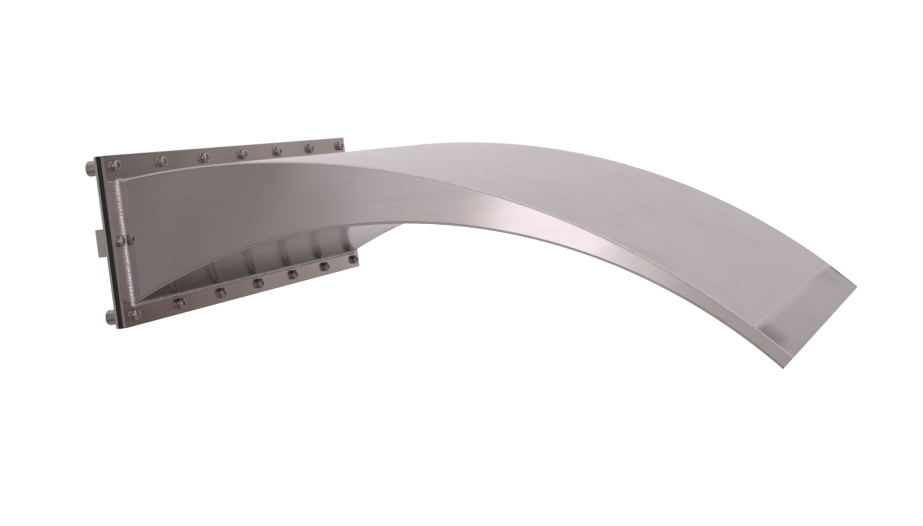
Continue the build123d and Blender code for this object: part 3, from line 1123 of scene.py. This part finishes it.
    def bottom_plate(self) -> bpy.types.Object:
        """The bottom skin, one arc from the flange face to the outlet."""
        share = np.linspace(0, 1, self.stations)
        half = self.half_width - self.side_thickness / 2
        low = raised(self.run(self.bottom, self.bottom.radius, share), -half)
        high = raised(self.run(self.bottom, self.bottom.radius + self.skin_thickness, share), -half)
        side = np.tile(2 * half * Y_AXIS, (len(share), 1))
        skin = loft(low, high, side, self.joint_radius, Ring.made(across=60, up=1, corner=2))
        # the bottom skin takes the darker copy of the steel, painted shade
        return dress(mesh_object("bottom_skin", [self.waved(skin, Z_AXIS, seed=5)]),
                     Finish.FLOOR_SHEET, "brushed_stainless", "bottom_plate")

    def waved(self, skin: Skin, axis: Array, seed: int) -> Skin:
        """The skin with the slow waves of thin sheet, fading at its borders.

        The shift along axis is the sum of three sine waves over X and Y or Z.

        Args:
            skin: the skin.
            axis: direction of the shift.
            seed: start of the random phases.

        Returns:
            The waved skin.
        """
        phase = np.random.default_rng(seed).uniform(0, 2 * math.pi, 3)
        x, y, z = skin.points.T
        cross = y if axis[2] else z * 2
        wave = (np.sin(38 * x + phase[0]) * np.sin(19 * cross + phase[1])
                + 0.5 * np.sin(61 * x - 23 * cross + phase[2]))
        fade = (smooth_step((x - self.face_x) / self.root_fade)
                * smooth_step((self.tip[0] - 0.05 - x) / self.tip_fade))
        if axis[2]:
            fade = fade * smooth_step((self.half_width - np.abs(y)) / self.side_fade)
        return Skin(skin.points + (self.sheet_waves * wave * fade)[:, None] * axis,
                    skin.groups, skin.uvs, skin.rim)

    def side_plate(self, name: str, side: int) -> bpy.types.Object:
        """A crescent side plate, under the top skin and on the bottom skin.

        Its UVs are the flat sheet's own x and z, as the brushing runs level
        whatever the outline does.

        Args:
            name: right or left.
            side: -1 for the right plate, 1 for the left.

        Returns:
            The piece.
        """
        radius, inner = self.top.radius, self.top.radius - self.skin_thickness
        start = self.top.root(inner, self.face_x)
        stop = self.top.angle(self.tip)
        cut = (self.fold - start) / (stop - start)
        share = np.sort(np.concatenate([np.linspace(0, 1, self.stations),
                                        [cut - 4e-4, cut + 4e-4]]))
        reach = inner + (radius - inner) * (share > cut)
        high = raised(self.top.at(reach, start + (stop - start) * share), side * self.half_width)
        low = raised(self.run(self.bottom, self.bottom.radius + self.skin_thickness, share),
                     side * self.half_width)
        across = np.tile(-side * self.side_thickness * Y_AXIS, (len(share), 1))
        ring = Ring.made(across=1, up=30, corner=2)
        skin = self.waved(loft(low, high, across, self.joint_radius, ring), Y_AXIS,
                          seed=8 + side)
        level_uvs = tuple(skin.points[group][..., [0, 2]] for group in skin.groups)
        # the plate's upper edge past the fold joins the rim mask, so it takes the painted edge
        # highlight
        reach = np.hypot(skin.points[:, 0] - self.top.centre[0],
                         skin.points[:, 2] - self.top.centre[1])
        skin = Skin(skin.points, skin.groups, level_uvs,
                    np.maximum(skin.rim, reach > radius - 0.3 * MM))
        return dress(mesh_object(f"side_sheet_{name}", [skin]), Finish.SIDE_SHEET,
                     "brushed_stainless", f"side_plate_{name}")

    def seam_weld(self, level: str, name: str, side: int) -> bpy.types.Object:
        """A ground bead along the joint of a skin and a side plate.

        Args:
            level: top or bottom.
            name: right or left.
            side: -1 for right, 1 for left.

        Returns:
            The piece.
        """
        share = np.linspace(0, 1, self.stations * 2)
        bow, thick, proud = getattr(self, level), self.skin_thickness, self.bead_proud
        if level == "top":
            starts = [bow.root(r, self.face_x) for r in (bow.radius - thick, bow.radius)]
            low = bow.at(bow.radius - thick, starts[0] + (self.fold - starts[0]) * share)
            high = bow.at(bow.radius + proud, starts[1] + (self.fold - starts[1]) * share)
        else:
            low, high = (self.run(bow, r, share) for r in (bow.radius - proud, bow.radius + thick))
        width = self.side_thickness / 2 + 0.6 * MM
        uneven = 1 + 0.12 * wander(share * self.projection, pitch=6 * MM, seed=11 + side)
        across = -side * width * uneven[:, None] * Y_AXIS
        skin = loft(raised(low, side * self.half_width), raised(high, side * self.half_width),
                    across, self.bead_radius, Ring.made(across=1, up=1, corner=4))
        # the bottom seams get the darker weld copy, painted shade
        finish = Finish.GROUND_WELD if level == "top" else Finish.FLUSH_WELD
        return dress(mesh_object(f"ground_bead_{level}_{name}", [skin]), finish,
                     "weld_stainless", f"seam_weld_{level}_{name}")

    def build(self) -> None:
        """Builds and dresses the whole duct."""
        self.top_plate()
        self.bottom_plate()
        for name, side in (("right", -1), ("left", 1)):
            self.side_plate(name, side)
            for level in ("top", "bottom"):
                self.seam_weld(level, name, side)
        dress_node("flow_diffuser", Finish.INNER)
        dress_node("outlet_spacers", Finish.BLOCK)


# ------------------------------------------------------------------ flange stack
@dataclass
class RootWeld:
    """The fillet bead between the duct and the flange, in its four runs."""

    duct: Duct
    side_leg: float = 2.2 * MM
    level_leg: float = 1.8 * MM
    ripple_pitch: float = 2.6 * MM
    ripple_height: float = 0.11
    step: float = 0.3 * MM
    level_fade: float = 12.0 * MM
    top_tilt: float = 6.2
    bottom_tilt: float = -25.5

    def bead(self, joint: Array, out: Array, tilt: Array, run: Array, leg: object,
             seed: int) -> Skin:
        """A fillet bead with ripples.

        A point is joint + q (cos f n + sin f x), where n points outwards along the
        flange, x along the duct, and f goes from 0 to 90 degrees less the skin's
        tilt.  q is the leg times 1 plus a ripple, a row of half waves laid back
        in crescents, plus a slow wander.

        Args:
            joint: (y, z) of the joint at each station.
            out: (y, z) outward direction at each station.
            tilt: slope of the skin against the duct's axis, in degrees.
            run: distance along the bead at each station.
            leg: the bead's leg, in metres, one value or one for each station.
            seed: start of the random wander.

        Returns:
            The skin.
        """
        share = np.linspace(0, 1, 9)
        turn = share * np.radians(90 - tilt)[:, None]
        lag = 1.2 * MM * np.sin(math.pi * share)
        ripple = np.abs(np.sin(math.pi * (run[:, None] + lag) / self.ripple_pitch))
        slow = (wander(run, pitch=7 * MM, seed=seed)[:, None] * 0.10
                + wander(run, pitch=1.6 * MM, seed=seed + 1)[:, None] * 0.07)
        reach = np.broadcast_to(leg, run.shape)[:, None] * (
            0.90 + self.ripple_height * ripple + slow * np.sin(math.pi * share))
        normal = np.stack([np.zeros(len(out)), out[:, 0], out[:, 1]], -1)[:, None]
        origin = np.column_stack([np.full(len(joint), self.duct.face_x), joint])[:, None]
        arc = origin + reach[..., None] * (np.cos(turn)[..., None] * normal
                                           + np.sin(turn)[..., None] * X_AXIS)
        heel = origin - 0.25 * MM * (normal + X_AXIS)
        points = np.concatenate([heel, arc], 1)
        around = np.concatenate([[0], 1 + share * 8, [10]]) * 0.5 * MM
        return weave(points, run, around)

    def level_run(self, level: str) -> Skin:
        """The bead over or under the duct, with its two round corners.

        Args:
            level: top or bottom.

        Returns:
            The skin.
        """
        up, z = (1, self.duct.root_top) if level == "top" else (-1, self.duct.root_bottom)
        half = self.duct.half_width
        steps = 12
        turn = np.linspace(0, math.pi / 2, steps)
        straight = np.linspace(-half, half, int(2 * half / self.step))[1:-1]
        y = np.concatenate([np.full(steps, -half), straight, np.full(steps, half)])
        lean = np.concatenate([turn, np.full(len(straight), math.pi / 2), math.pi - turn[::-1]])
        out = np.stack([-np.cos(lean), up * np.sin(lean)], -1)
        tilt = (self.top_tilt if up > 0 else self.bottom_tilt) * np.sin(lean)
        leg = self.side_leg + (self.level_leg - self.side_leg) * smooth_step(
            (half - np.abs(y)) / self.level_fade)
        corner = self.side_leg * turn
        run = np.concatenate([corner, corner[-1] + straight + half, corner[-1] + 2 * half + corner])
        return self.bead(np.stack([y, np.full(len(y), z)], -1), out, tilt, run, leg,
                         seed=21 + up)

    def side_run(self, side: int) -> Skin:
        """The bead down one side plate.

        Args:
            side: -1 for the right plate, 1 for the left.

        Returns:
            The skin.
        """
        z = np.arange(self.duct.root_bottom, self.duct.root_top, self.step)
        joint = np.stack([np.full(len(z), side * self.duct.half_width), z], -1)
        out = np.tile([float(side), 0.0], (len(z), 1))
        return self.bead(joint, out, np.zeros(len(z)), z - z[0], self.side_leg,
                         seed=31 + side)

    def build(self) -> None:
        """Builds and dresses the four runs."""
        for level in ("top", "bottom"):
            dress(mesh_object(f"fillet_bead_{level}", [self.level_run(level)]), Finish.WELD,
                  "weld_stainless", f"root_weld_{level}")
        for name, side in (("right", -1), ("left", 1)):
            dress(mesh_object(f"fillet_bead_{name}", [self.side_run(side)]), Finish.WELD,
                  "weld_stainless", f"root_weld_{name}")


@dataclass
class FlangeStack:
    """The front flange, the gasket and the backing plate."""

    duct: Duct
    bevel: float = 0.35 * MM
    gasket_bulge: float = 0.9 * MM
    gasket_edge: float = 1.3 * MM
    gasket_wander: float = 0.25 * MM
    gasket_spare: float = 0.02 * MM
    gasket_steps: tuple[int, int, int, int] = (150, 40, 150, 40)

    def gasket(self) -> bpy.types.Object:
        """The rubber gasket, squeezed out a little round its edge.

        A rounded section is carried round the flange: its inner end follows the
        duct's opening and its outer end the flange's outline, plus a slow wander.

        Returns:
            The piece.
        """
        low, high = (np.array(c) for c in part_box("gasket"))
        duct = self.duct
        inner_y = duct.half_width - duct.side_thickness
        inner_low = duct.root_bottom + duct.skin_thickness
        inner_high = duct.root_top - duct.skin_thickness
        square = np.array([(-1, -1), (1, -1), (1, 1), (-1, 1)], float)
        places = np.concatenate([square[i] + (square[(i + 1) % 4] - square[i])
                                 * np.linspace(0, 1, n, endpoint=False)[:, None]
                                 for i, n in enumerate(self.gasket_steps)])
        inner = np.stack([places[:, 0] * inner_y,
                          inner_low + (places[:, 1] + 1) / 2 * (inner_high - inner_low)], -1)
        uneven = wander(np.arange(len(places)) * 4 * MM, pitch=12 * MM, seed=41)
        swell = self.gasket_bulge + self.gasket_wander * uneven
        outer = places * (np.array([high[1], high[2]]) + swell[:, None])
        rear, front = low[0] + self.gasket_spare, high[0] - self.gasket_spare
        skin = loft(np.column_stack([np.full(len(inner), rear), inner]),
                    np.column_stack([np.full(len(outer), rear), outer]),
                    np.tile((front - rear) * X_AXIS, (len(inner), 1)), self.gasket_edge,
                    Ring.made(across=2, up=6, corner=5), closed=True)
        return dress(mesh_object("gasket_ring", [skin]), Finish.RUBBER, "gasket_rubber",
                     "gasket")

    def build(self) -> None:
        """Builds and dresses the three layers."""
        dress(softened_copy("flange_face", "front_flange", self.bevel), Finish.FLANGE,
              "flange_stainless", "front_flange")
        self.gasket()
        dress(softened_copy("backing_sheet", "backing_plate", self.bevel), Finish.BACKING,
              "flange_stainless", "backing_plate")


# ------------------------------------------------------------------ fasteners
@dataclass
class Fasteners:
    """The screws round the flange, and what they go into behind it."""

    face_x: float = 8.5 * MM
    row_z: float = 58.0 * MM
    row_half: float = 250.0 * MM
    row_count: int = 7
    middle_y: float = 258.0 * MM
    head_radius: float = 4.25 * MM
    head_height: float = 4.0 * MM
    head_round: float = 1.3 * MM
    socket_half: float = 2.0 * MM
    socket_depth: float = 2.2 * MM
    shank_radius: float = 2.5 * MM
    shank_length: float = 14.0 * MM
    boss_radius: float = 6.0 * MM
    boss_length: float = 14.0 * MM
    boss_round: float = 1.8 * MM
    bore_radius: float = 2.55 * MM
    bore_depth: float = 5.8 * MM
    thread_pitch: float = 0.8 * MM
    thread_depth: float = 0.35 * MM
    thread_stations: int = 62
    screw_steps: int = 36
    boss_steps: int = 48

    def row_places(self) -> Array:
        """(y, z) of the screws in the two rows."""
        y = np.linspace(-self.row_half, self.row_half, self.row_count)
        return np.array([(a, b) for b in (self.row_z, -self.row_z) for a in y])

    def screw_profile(self) -> tuple[Array, Array]:
        """The screw's profile from its socket's floor to its tip.

        The head's shoulder is a quarter circle, and the thread is a row of small
        triangular waves on the shank.

        Returns:
            (x, r) of each station, and each station's share of hexagon.
        """
        h, r, s, d = self.head_height, self.head_radius, self.socket_half, self.socket_depth
        turn = np.linspace(0, math.pi / 2, 7)
        shoulder = np.stack([h - self.head_round * (1 - np.cos(turn)),
                             r - self.head_round * (1 - np.sin(turn))], -1)
        top = np.array([(h - d, 0), (h - d, s * 0.5), (h - d, s * 0.995), (h - d + 0.02 * MM, s),
                        (h - 0.25 * MM, s), (h - 0.03 * MM, s * 1.14), (h, s * 1.2)])
        hexagon = np.array([0, 1, 1, 1, 1, 0.2, 0])
        seat = np.array([(0.2 * MM, r), (0.05 * MM, r - 0.1 * MM), (0, r - 0.25 * MM),
                         (0, self.shank_radius)])
        x = np.linspace(-1 * MM, -self.shank_length + 0.8 * MM, self.thread_stations)
        wave = np.abs(np.mod(x / self.thread_pitch, 1.0) - 0.5) * 2
        thread = np.stack([x, self.shank_radius - self.thread_depth * wave], -1)
        end = np.array([(-self.shank_length + 0.3 * MM, self.shank_radius - 0.5 * MM),
                        (-self.shank_length, self.shank_radius - 0.8 * MM),
                        (-self.shank_length, 0)])
        profile = np.concatenate([top, shoulder, seat, thread, end])
        return profile, np.concatenate([hexagon, np.zeros(len(profile) - len(hexagon))])

    def screws(self) -> bpy.types.Object:
        """All the screws, one mesh."""
        places = np.concatenate([self.row_places(), [(-self.middle_y, 0), (self.middle_y, 0)]])
        centres = np.column_stack([np.full(len(places), self.face_x), places])
        profile, hexagon = self.screw_profile()
        skins = lathe(profile, self.screw_steps, centres, hexagon)
        return dress(mesh_object("cap_screws", skins), Finish.SCREW, "screw_stainless",
                     "flange_screws")

    def bosses(self) -> bpy.types.Object:
        """The closed bosses behind the two rows, with their screw bores."""
        turn = np.linspace(0, math.pi / 2, 8)
        length, r, q = self.boss_length, self.boss_radius, self.boss_round
        rim = np.stack([-length + q * (1 - np.sin(turn)), r - q * (1 - np.cos(turn))], -1)
        profile = np.concatenate([
            [(-self.bore_depth, 0), (-self.bore_depth, self.bore_radius - 0.1 * MM),
             (-self.bore_depth + 0.1 * MM, self.bore_radius), (-0.1 * MM, self.bore_radius),
             (0, self.bore_radius + 0.1 * MM), (0, r - 0.2 * MM), (-0.2 * MM, r),
             (-4 * MM, r), (-9 * MM, r)],
            rim, [(-length, r * 0.45), (-length, 0)]])
        places = self.row_places()
        centres = np.column_stack([np.zeros(len(places)), places])
        skins = lathe(profile, self.boss_steps, centres)
        return dress(mesh_object("closed_bosses", skins), Finish.TURNED, "turned_stainless",
                     "screw_bosses")

    def build(self) -> None:
        """Builds and dresses the fasteners."""
        self.screws()
        self.bosses()
        for name in ("left", "right"):
            dress_node(f"anchor_block_{name}", Finish.BLOCK)


# ------------------------------------------------------------------ water inlet
@dataclass
class WaterInlet:
    """The threaded socket behind the backing plate and its weld."""

    bore: float = 28.33 * MM
    wall: float = 6.0 * MM
    length: float = 40.0 * MM
    chamfer: float = 1.5 * MM
    pitch: float = 2.309 * MM
    thread_depth: float = 1.45 * MM
    thread_stations: int = 150
    socket_steps: int = 96
    weld_leg: float = 4.0 * MM
    weld_stations: int = 560
    ripple_pitch: float = 2.8 * MM

    def socket(self) -> bpy.types.Object:
        """The socket: a turned outside and a helical thread inside.

        Inside, the radius is bore + depth times a triangular wave of
        x / pitch - t / (2 pi), which fades out at the two ends.

        Returns:
            The piece.
        """
        outer = self.bore + self.wall
        c, length = self.chamfer, self.length
        outside = np.array([(0, outer - 0.3 * MM), (-0.3 * MM, outer), (-length / 2, outer),
                            (-length + c, outer), (-length, outer - c),
                            (-length, self.bore + self.thread_depth + c)])
        inside_x = np.linspace(-length + 0.6 * MM, -0.4 * MM, self.thread_stations)
        inside = np.stack([inside_x, np.full(self.thread_stations, self.bore)], -1)
        profile = np.concatenate([outside, inside, [(0, self.bore + 0.4 * MM)]])
        skin = lathe(profile, self.socket_steps, np.zeros((1, 3)), closed=True)[0]
        points = skin.points.reshape(len(profile), self.socket_steps, 3).copy()
        x = points[..., 0]
        turn = np.arctan2(points[..., 2], points[..., 1])
        wave = 1 - 2 * np.abs(np.mod(x / self.pitch - turn / (2 * math.pi), 1.0) - 0.5)
        fade = smooth_step((x + length) / (4 * MM)) * smooth_step(-x / (3 * MM))
        cut = np.zeros(len(profile))
        cut[len(outside):-1] = 1
        grow = 1 + cut[:, None] * self.thread_depth * wave * fade / self.bore
        lead = 1 + cut[:, None] * 0.05 * smooth_step((-length + 3 * MM - x) / (3 * MM))
        points[..., 1:] *= (grow * lead)[..., None]
        skin = Skin(points.reshape(-1, 3), skin.groups, skin.uvs, skin.rim)
        return dress(mesh_object("threaded_socket", [skin], crease=50.0), Finish.TURNED,
                     "turned_stainless", "inlet_socket")

    def weld(self) -> bpy.types.Object:
        """The rippled fillet round the socket.

        A point is the joint circle plus q times a direction that turns from
        outwards to rearwards; q is the leg times 1 plus a ripple.

        Returns:
            The piece.
        """
        outer = self.bore + self.wall
        count = self.weld_stations
        around = np.linspace(0, 2 * math.pi, count, endpoint=False)
        run = around * outer
        share = np.linspace(0, 1, 8)
        ripples = round(2 * math.pi * outer / self.ripple_pitch)
        ripple = np.abs(np.sin(ripples * around[:, None] / 2 + 1.2 * np.sin(math.pi * share)))
        slow = 0.08 * np.sin(5 * around + 1)[:, None] + 0.05 * np.sin(17 * around)[:, None]
        reach = self.weld_leg * (0.86 + 0.1 * ripple + slow * np.sin(math.pi * share))
        radial = np.stack([np.zeros(count), np.cos(around), np.sin(around)], -1)[:, None]
        turn = share * math.pi / 2
        arc = (radial * outer + reach[..., None] * (np.cos(turn)[:, None] * radial
                                                    - np.sin(turn)[:, None] * X_AXIS))
        heel = radial * (outer - 0.3 * MM)
        points = np.concatenate([heel, arc], 1)
        skin = weave(points, np.append(run, 2 * math.pi * outer), np.arange(10) * 0.6 * MM,
                     closed_along=True)
        return dress(mesh_object("socket_bead", [skin]), Finish.WELD, "weld_stainless",
                     "inlet_weld")

    def build(self) -> None:
        """Builds and dresses the inlet."""
        self.socket()
        self.weld()


# ------------------------------------------------------------------ studio
@dataclass(frozen=True)
class Glow:
    """A soft patch of light on the sky: where it is, how wide and how bright."""

    azimuth: float
    elevation: float
    wide: float
    tall: float
    power: float
    edge: float = 2.0
    colour: Colour = (1.0, 0.965, 0.975)


@dataclass
class Studio:
    """Floor, sky light and camera."""

    floor_drop: float = 0.28
    floor_radius: float = 30.0
    floor_middle: float = 0.05
    floor_rings: int = 20
    floor_spokes: int = 72
    floor_colour: Colour = (0.13, 0.12, 0.12)
    floor_roughness: float = 0.9
    fade: Span = (0.6, 2.0)
    under: Span = (0.5, 0.9)
    under_light: float = 1.8
    mirror_middle: float = 0.33
    mirror_turn: Span = (-0.3, 0.3)
    clip: Span = (0.01, 200.0)
    lens: float = 75.495
    sensor: float = 36.0
    place: tuple[float, float, float] = (0.69264, -1.60164, 0.03223)
    right: tuple[float, float, float] = (0.950402, 0.285666, -0.123011)
    up: tuple[float, float, float] = (0.101819, 0.087947, 0.990908)
    back: tuple[float, float, float] = (0.293887, -0.954285, 0.054498)
    base: Colour = (0.105, 0.092, 0.090)
    glows: tuple[Glow, ...] = (
        Glow(200.0, 10.0, 44.6, 24.0, 0.76, 17.0, (1.0, 0.945, 0.975)),
        Glow(205.0, 8.0, 22.0, 20.0, 0.39, 2.0, (1.0, 0.95, 1.0)),
        Glow(-30.0, 0.0, 80.0, 60.0, 0.12, 4.0),
        Glow(0.0, 80.0, 400.0, 26.0, 0.90, 4.0),
        Glow(-8.4, 0.0, 13.3, 50.0, 0.355, 30.0),
        Glow(-13.2, -2.0, 2.4, 36.0, 1.19, 2.4, (1.0, 0.955, 0.985)),
        Glow(-17.5, 0.0, 3.2, 40.0, 0.17),
        Glow(-24.0, 0.0, 3.0, 40.0, 0.09),
        Glow(154.0, -5.5, 8.0, 3.5, -0.13, 2.0, (0.80, 1.0, 1.15)),
        Glow(52.0, 12.0, 30.0, 30.0, 0.95, 2.5, (0.97, 0.92, 1.0)),
        Glow(-100.0, 18.0, 32.0, 26.0, 0.75, 2.5),
    )

    def camera(self) -> None:
        """The camera, from its three axes."""
        data = bpy.data.cameras.new("camera")
        data.lens = self.lens
        data.sensor_width = self.sensor
        data.clip_start, data.clip_end = self.clip
        camera = bpy.data.objects.new("camera", data)
        bpy.context.scene.collection.objects.link(camera)
        turn = Matrix((self.right, self.up, self.back)).transposed().to_4x4()
        camera.matrix_world = Matrix.Translation(self.place) @ turn
        bpy.context.scene.camera = camera

    def floor(self) -> None:
        """A wide pale disc under the object: rings of points on circles.

        It is clear from below.  Other rays than the camera's see its grey plus a
        painted glow of the room's light: under_light times that light right under
        the object, little in a ring round it, and the full light further off, so
        that no horizon shows.
        """
        rings = np.geomspace(self.floor_middle, self.floor_radius, self.floor_rings)
        spokes = self.floor_spokes
        turn = np.linspace(0, 2 * math.pi, spokes, endpoint=False)
        level = CAD_BOX[0].z - self.floor_drop
        points = np.stack([rings[:, None] * np.cos(turn), rings[:, None] * np.sin(turn),
                           np.full((self.floor_rings, spokes), level)], -1)
        skin = weave(points, rings, np.linspace(0, 6, spokes + 1), capped=False)
        centre = Skin(points[0], (np.arange(spokes)[None, :],), (points[0][None, :, :2],),
                      np.zeros(spokes))
        floor = mesh_object("floor", [skin, centre])
        if floor.data.polygons[0].normal.z < 0:
            floor.data.flip_normals()
        material, w, shader = new_material("pale_floor")
        shader.inputs["Base Color"].default_value = (*self.floor_colour, 1.0)
        shader.inputs["Roughness"].default_value = self.floor_roughness
        below = w.add("ShaderNodeNewGeometry").outputs["Backfacing"]
        w.feed(shader.inputs["Alpha"], w.sum("SUBTRACT", 1.0, below))
        seen = w.add("ShaderNodeLightPath").outputs["Is Camera Ray"]
        where = coordinates(w, Pattern.FRAME)
        away = w.add("ShaderNodeVectorMath", operation="LENGTH", s0=where)
        far = w.ranged(away.outputs["Value"], *self.fade)
        # painted glow: right under the object the floor glows at under_light times the room's light
        # to other rays
        under = w.ranged(away.outputs["Value"], *self.under, self.under_light, 0.0)
        x, y, z = w.add("ShaderNodeSeparateXYZ", s0=where).outputs
        middle = w.ranged(y, *self.mirror_turn, self.mirror_middle, 0.0)
        aside = w.add("ShaderNodeCombineXYZ", s0=w.sum("SUBTRACT", x, middle), s1=y,
                      s2=z).outputs[0]
        way = w.add("ShaderNodeVectorMath", operation="NORMALIZE", s0=aside).outputs[0]
        light = w.group(self.room_light(), Direction=way).outputs[0]
        w.feed(shader.inputs["Emission Color"], w.mixed(seen, light, WHITE))
        near = w.sum("MAXIMUM", far, under)
        strength = w.add("ShaderNodeMix", s0=seen, s2=near, s3=1.0)
        w.feed(shader.inputs["Emission Strength"], strength.outputs[0])
        floor.data.materials.append(material)

    @staticmethod
    def bell(w: Wires, angle: bpy.types.NodeSocket, middle: float, wide: float,
             edge: float) -> bpy.types.NodeSocket:
        """e to the minus |(angle - middle) / wide| to the power edge.

        Args:
            w: wires of the tree.
            angle: an angle in degrees, taken round to within half a turn.
            middle: where the bell stands.
            wide: its half width.
            edge: a higher one makes a flatter bell with a shorter border.

        Returns:
            The value, 0 to 1.
        """
        aside = w.sum("WRAP", w.sum("SUBTRACT", angle, middle), 180.0, -180.0)
        share = w.sum("POWER", w.sum("ABSOLUTE", w.sum("DIVIDE", aside, wide)), edge)
        return w.sum("EXPONENT", w.sum("MULTIPLY", share, -1.0))

    def glow(self, w: Wires, azimuth: bpy.types.NodeSocket, elevation: bpy.types.NodeSocket,
             patch: Glow) -> bpy.types.NodeSocket:
        """The patch's colour for a direction: power times two bells.

        Args:
            w: wires of the tree.
            azimuth: the direction's azimuth, in degrees.
            elevation: its elevation, in degrees.
            patch: the patch of light.

        Returns:
            The colour.
        """
        bell = w.sum("MULTIPLY", self.bell(w, azimuth, patch.azimuth, patch.wide, patch.edge),
                     self.bell(w, elevation, patch.elevation, patch.tall, 2.0))
        power = w.sum("MULTIPLY", bell, patch.power)
        scaled = w.add("ShaderNodeVectorMath", operation="SCALE", s0=patch.colour)
        w.feed(scaled.inputs["Scale"], power)
        return scaled.outputs[0]

    def room_light(self) -> bpy.types.NodeTree:
        """The light that comes from a direction: the grey base plus every patch.

        The azimuth runs from -Y towards +X, and both angles are in degrees.

        Returns:
            The group, with a direction of unit length in and a colour out.
        """
        if ROOM_NAME in bpy.data.node_groups:
            return bpy.data.node_groups[ROOM_NAME]
        tree = bpy.data.node_groups.new(ROOM_NAME, "ShaderNodeTree")
        tree.interface.new_socket("Direction", in_out="INPUT", socket_type="NodeSocketVector")
        tree.interface.new_socket("Light", in_out="OUTPUT", socket_type="NodeSocketColor")
        w = Wires(tree)
        source, sink = w.add("NodeGroupInput"), w.add("NodeGroupOutput")
        x, y, z = w.add("ShaderNodeSeparateXYZ", s0=source.outputs[0]).outputs
        azimuth = w.sum("DEGREES", w.sum("ARCTAN2", x, w.sum("MULTIPLY", y, -1.0)))
        elevation = w.sum("DEGREES", w.sum("ARCSINE", z))
        total = w.add("ShaderNodeCombineXYZ", s0=self.base[0], s1=self.base[1],
                      s2=self.base[2]).outputs[0]
        for patch in self.glows:
            total = w.add("ShaderNodeVectorMath", operation="ADD", s0=total,
                          s1=self.glow(w, azimuth, elevation, patch)).outputs[0]
        w.feed(sink.inputs[0], total)
        return tree

    def sky(self) -> None:
        """The sky: the room's light, and plain white behind the object."""
        world = bpy.data.worlds.new("studio_sky")
        bpy.context.scene.world = world
        world.use_nodes = True
        world.node_tree.nodes.clear()
        w = Wires(world.node_tree)
        way = w.add("ShaderNodeTexCoord").outputs["Generated"]
        total = w.group(self.room_light(), Direction=way).outputs[0]
        seen = w.add("ShaderNodeLightPath").outputs["Is Camera Ray"]
        colour = w.mixed(seen, total, WHITE)
        shade = w.add("ShaderNodeBackground")
        w.feed(shade.inputs[0], colour)
        target = w.add("ShaderNodeOutputWorld")
        w.tree.links.new(shade.outputs[0], target.inputs[0])

    def build(self) -> None:
        """Makes the studio."""
        bpy.context.scene.view_settings.view_transform = "Standard"
        self.camera()
        self.floor()
        self.sky()


def main() -> None:
    """Builds every piece in order."""
    logging.basicConfig(level=logging.INFO, format="%(name)s: %(message)s")
    Studio().build()
    duct = Duct()
    duct.build()
    RootWeld(duct).build()
    FlangeStack(duct).build()
    Fasteners().build()
    WaterInlet().build()


if __name__ == "__main__":
    main()
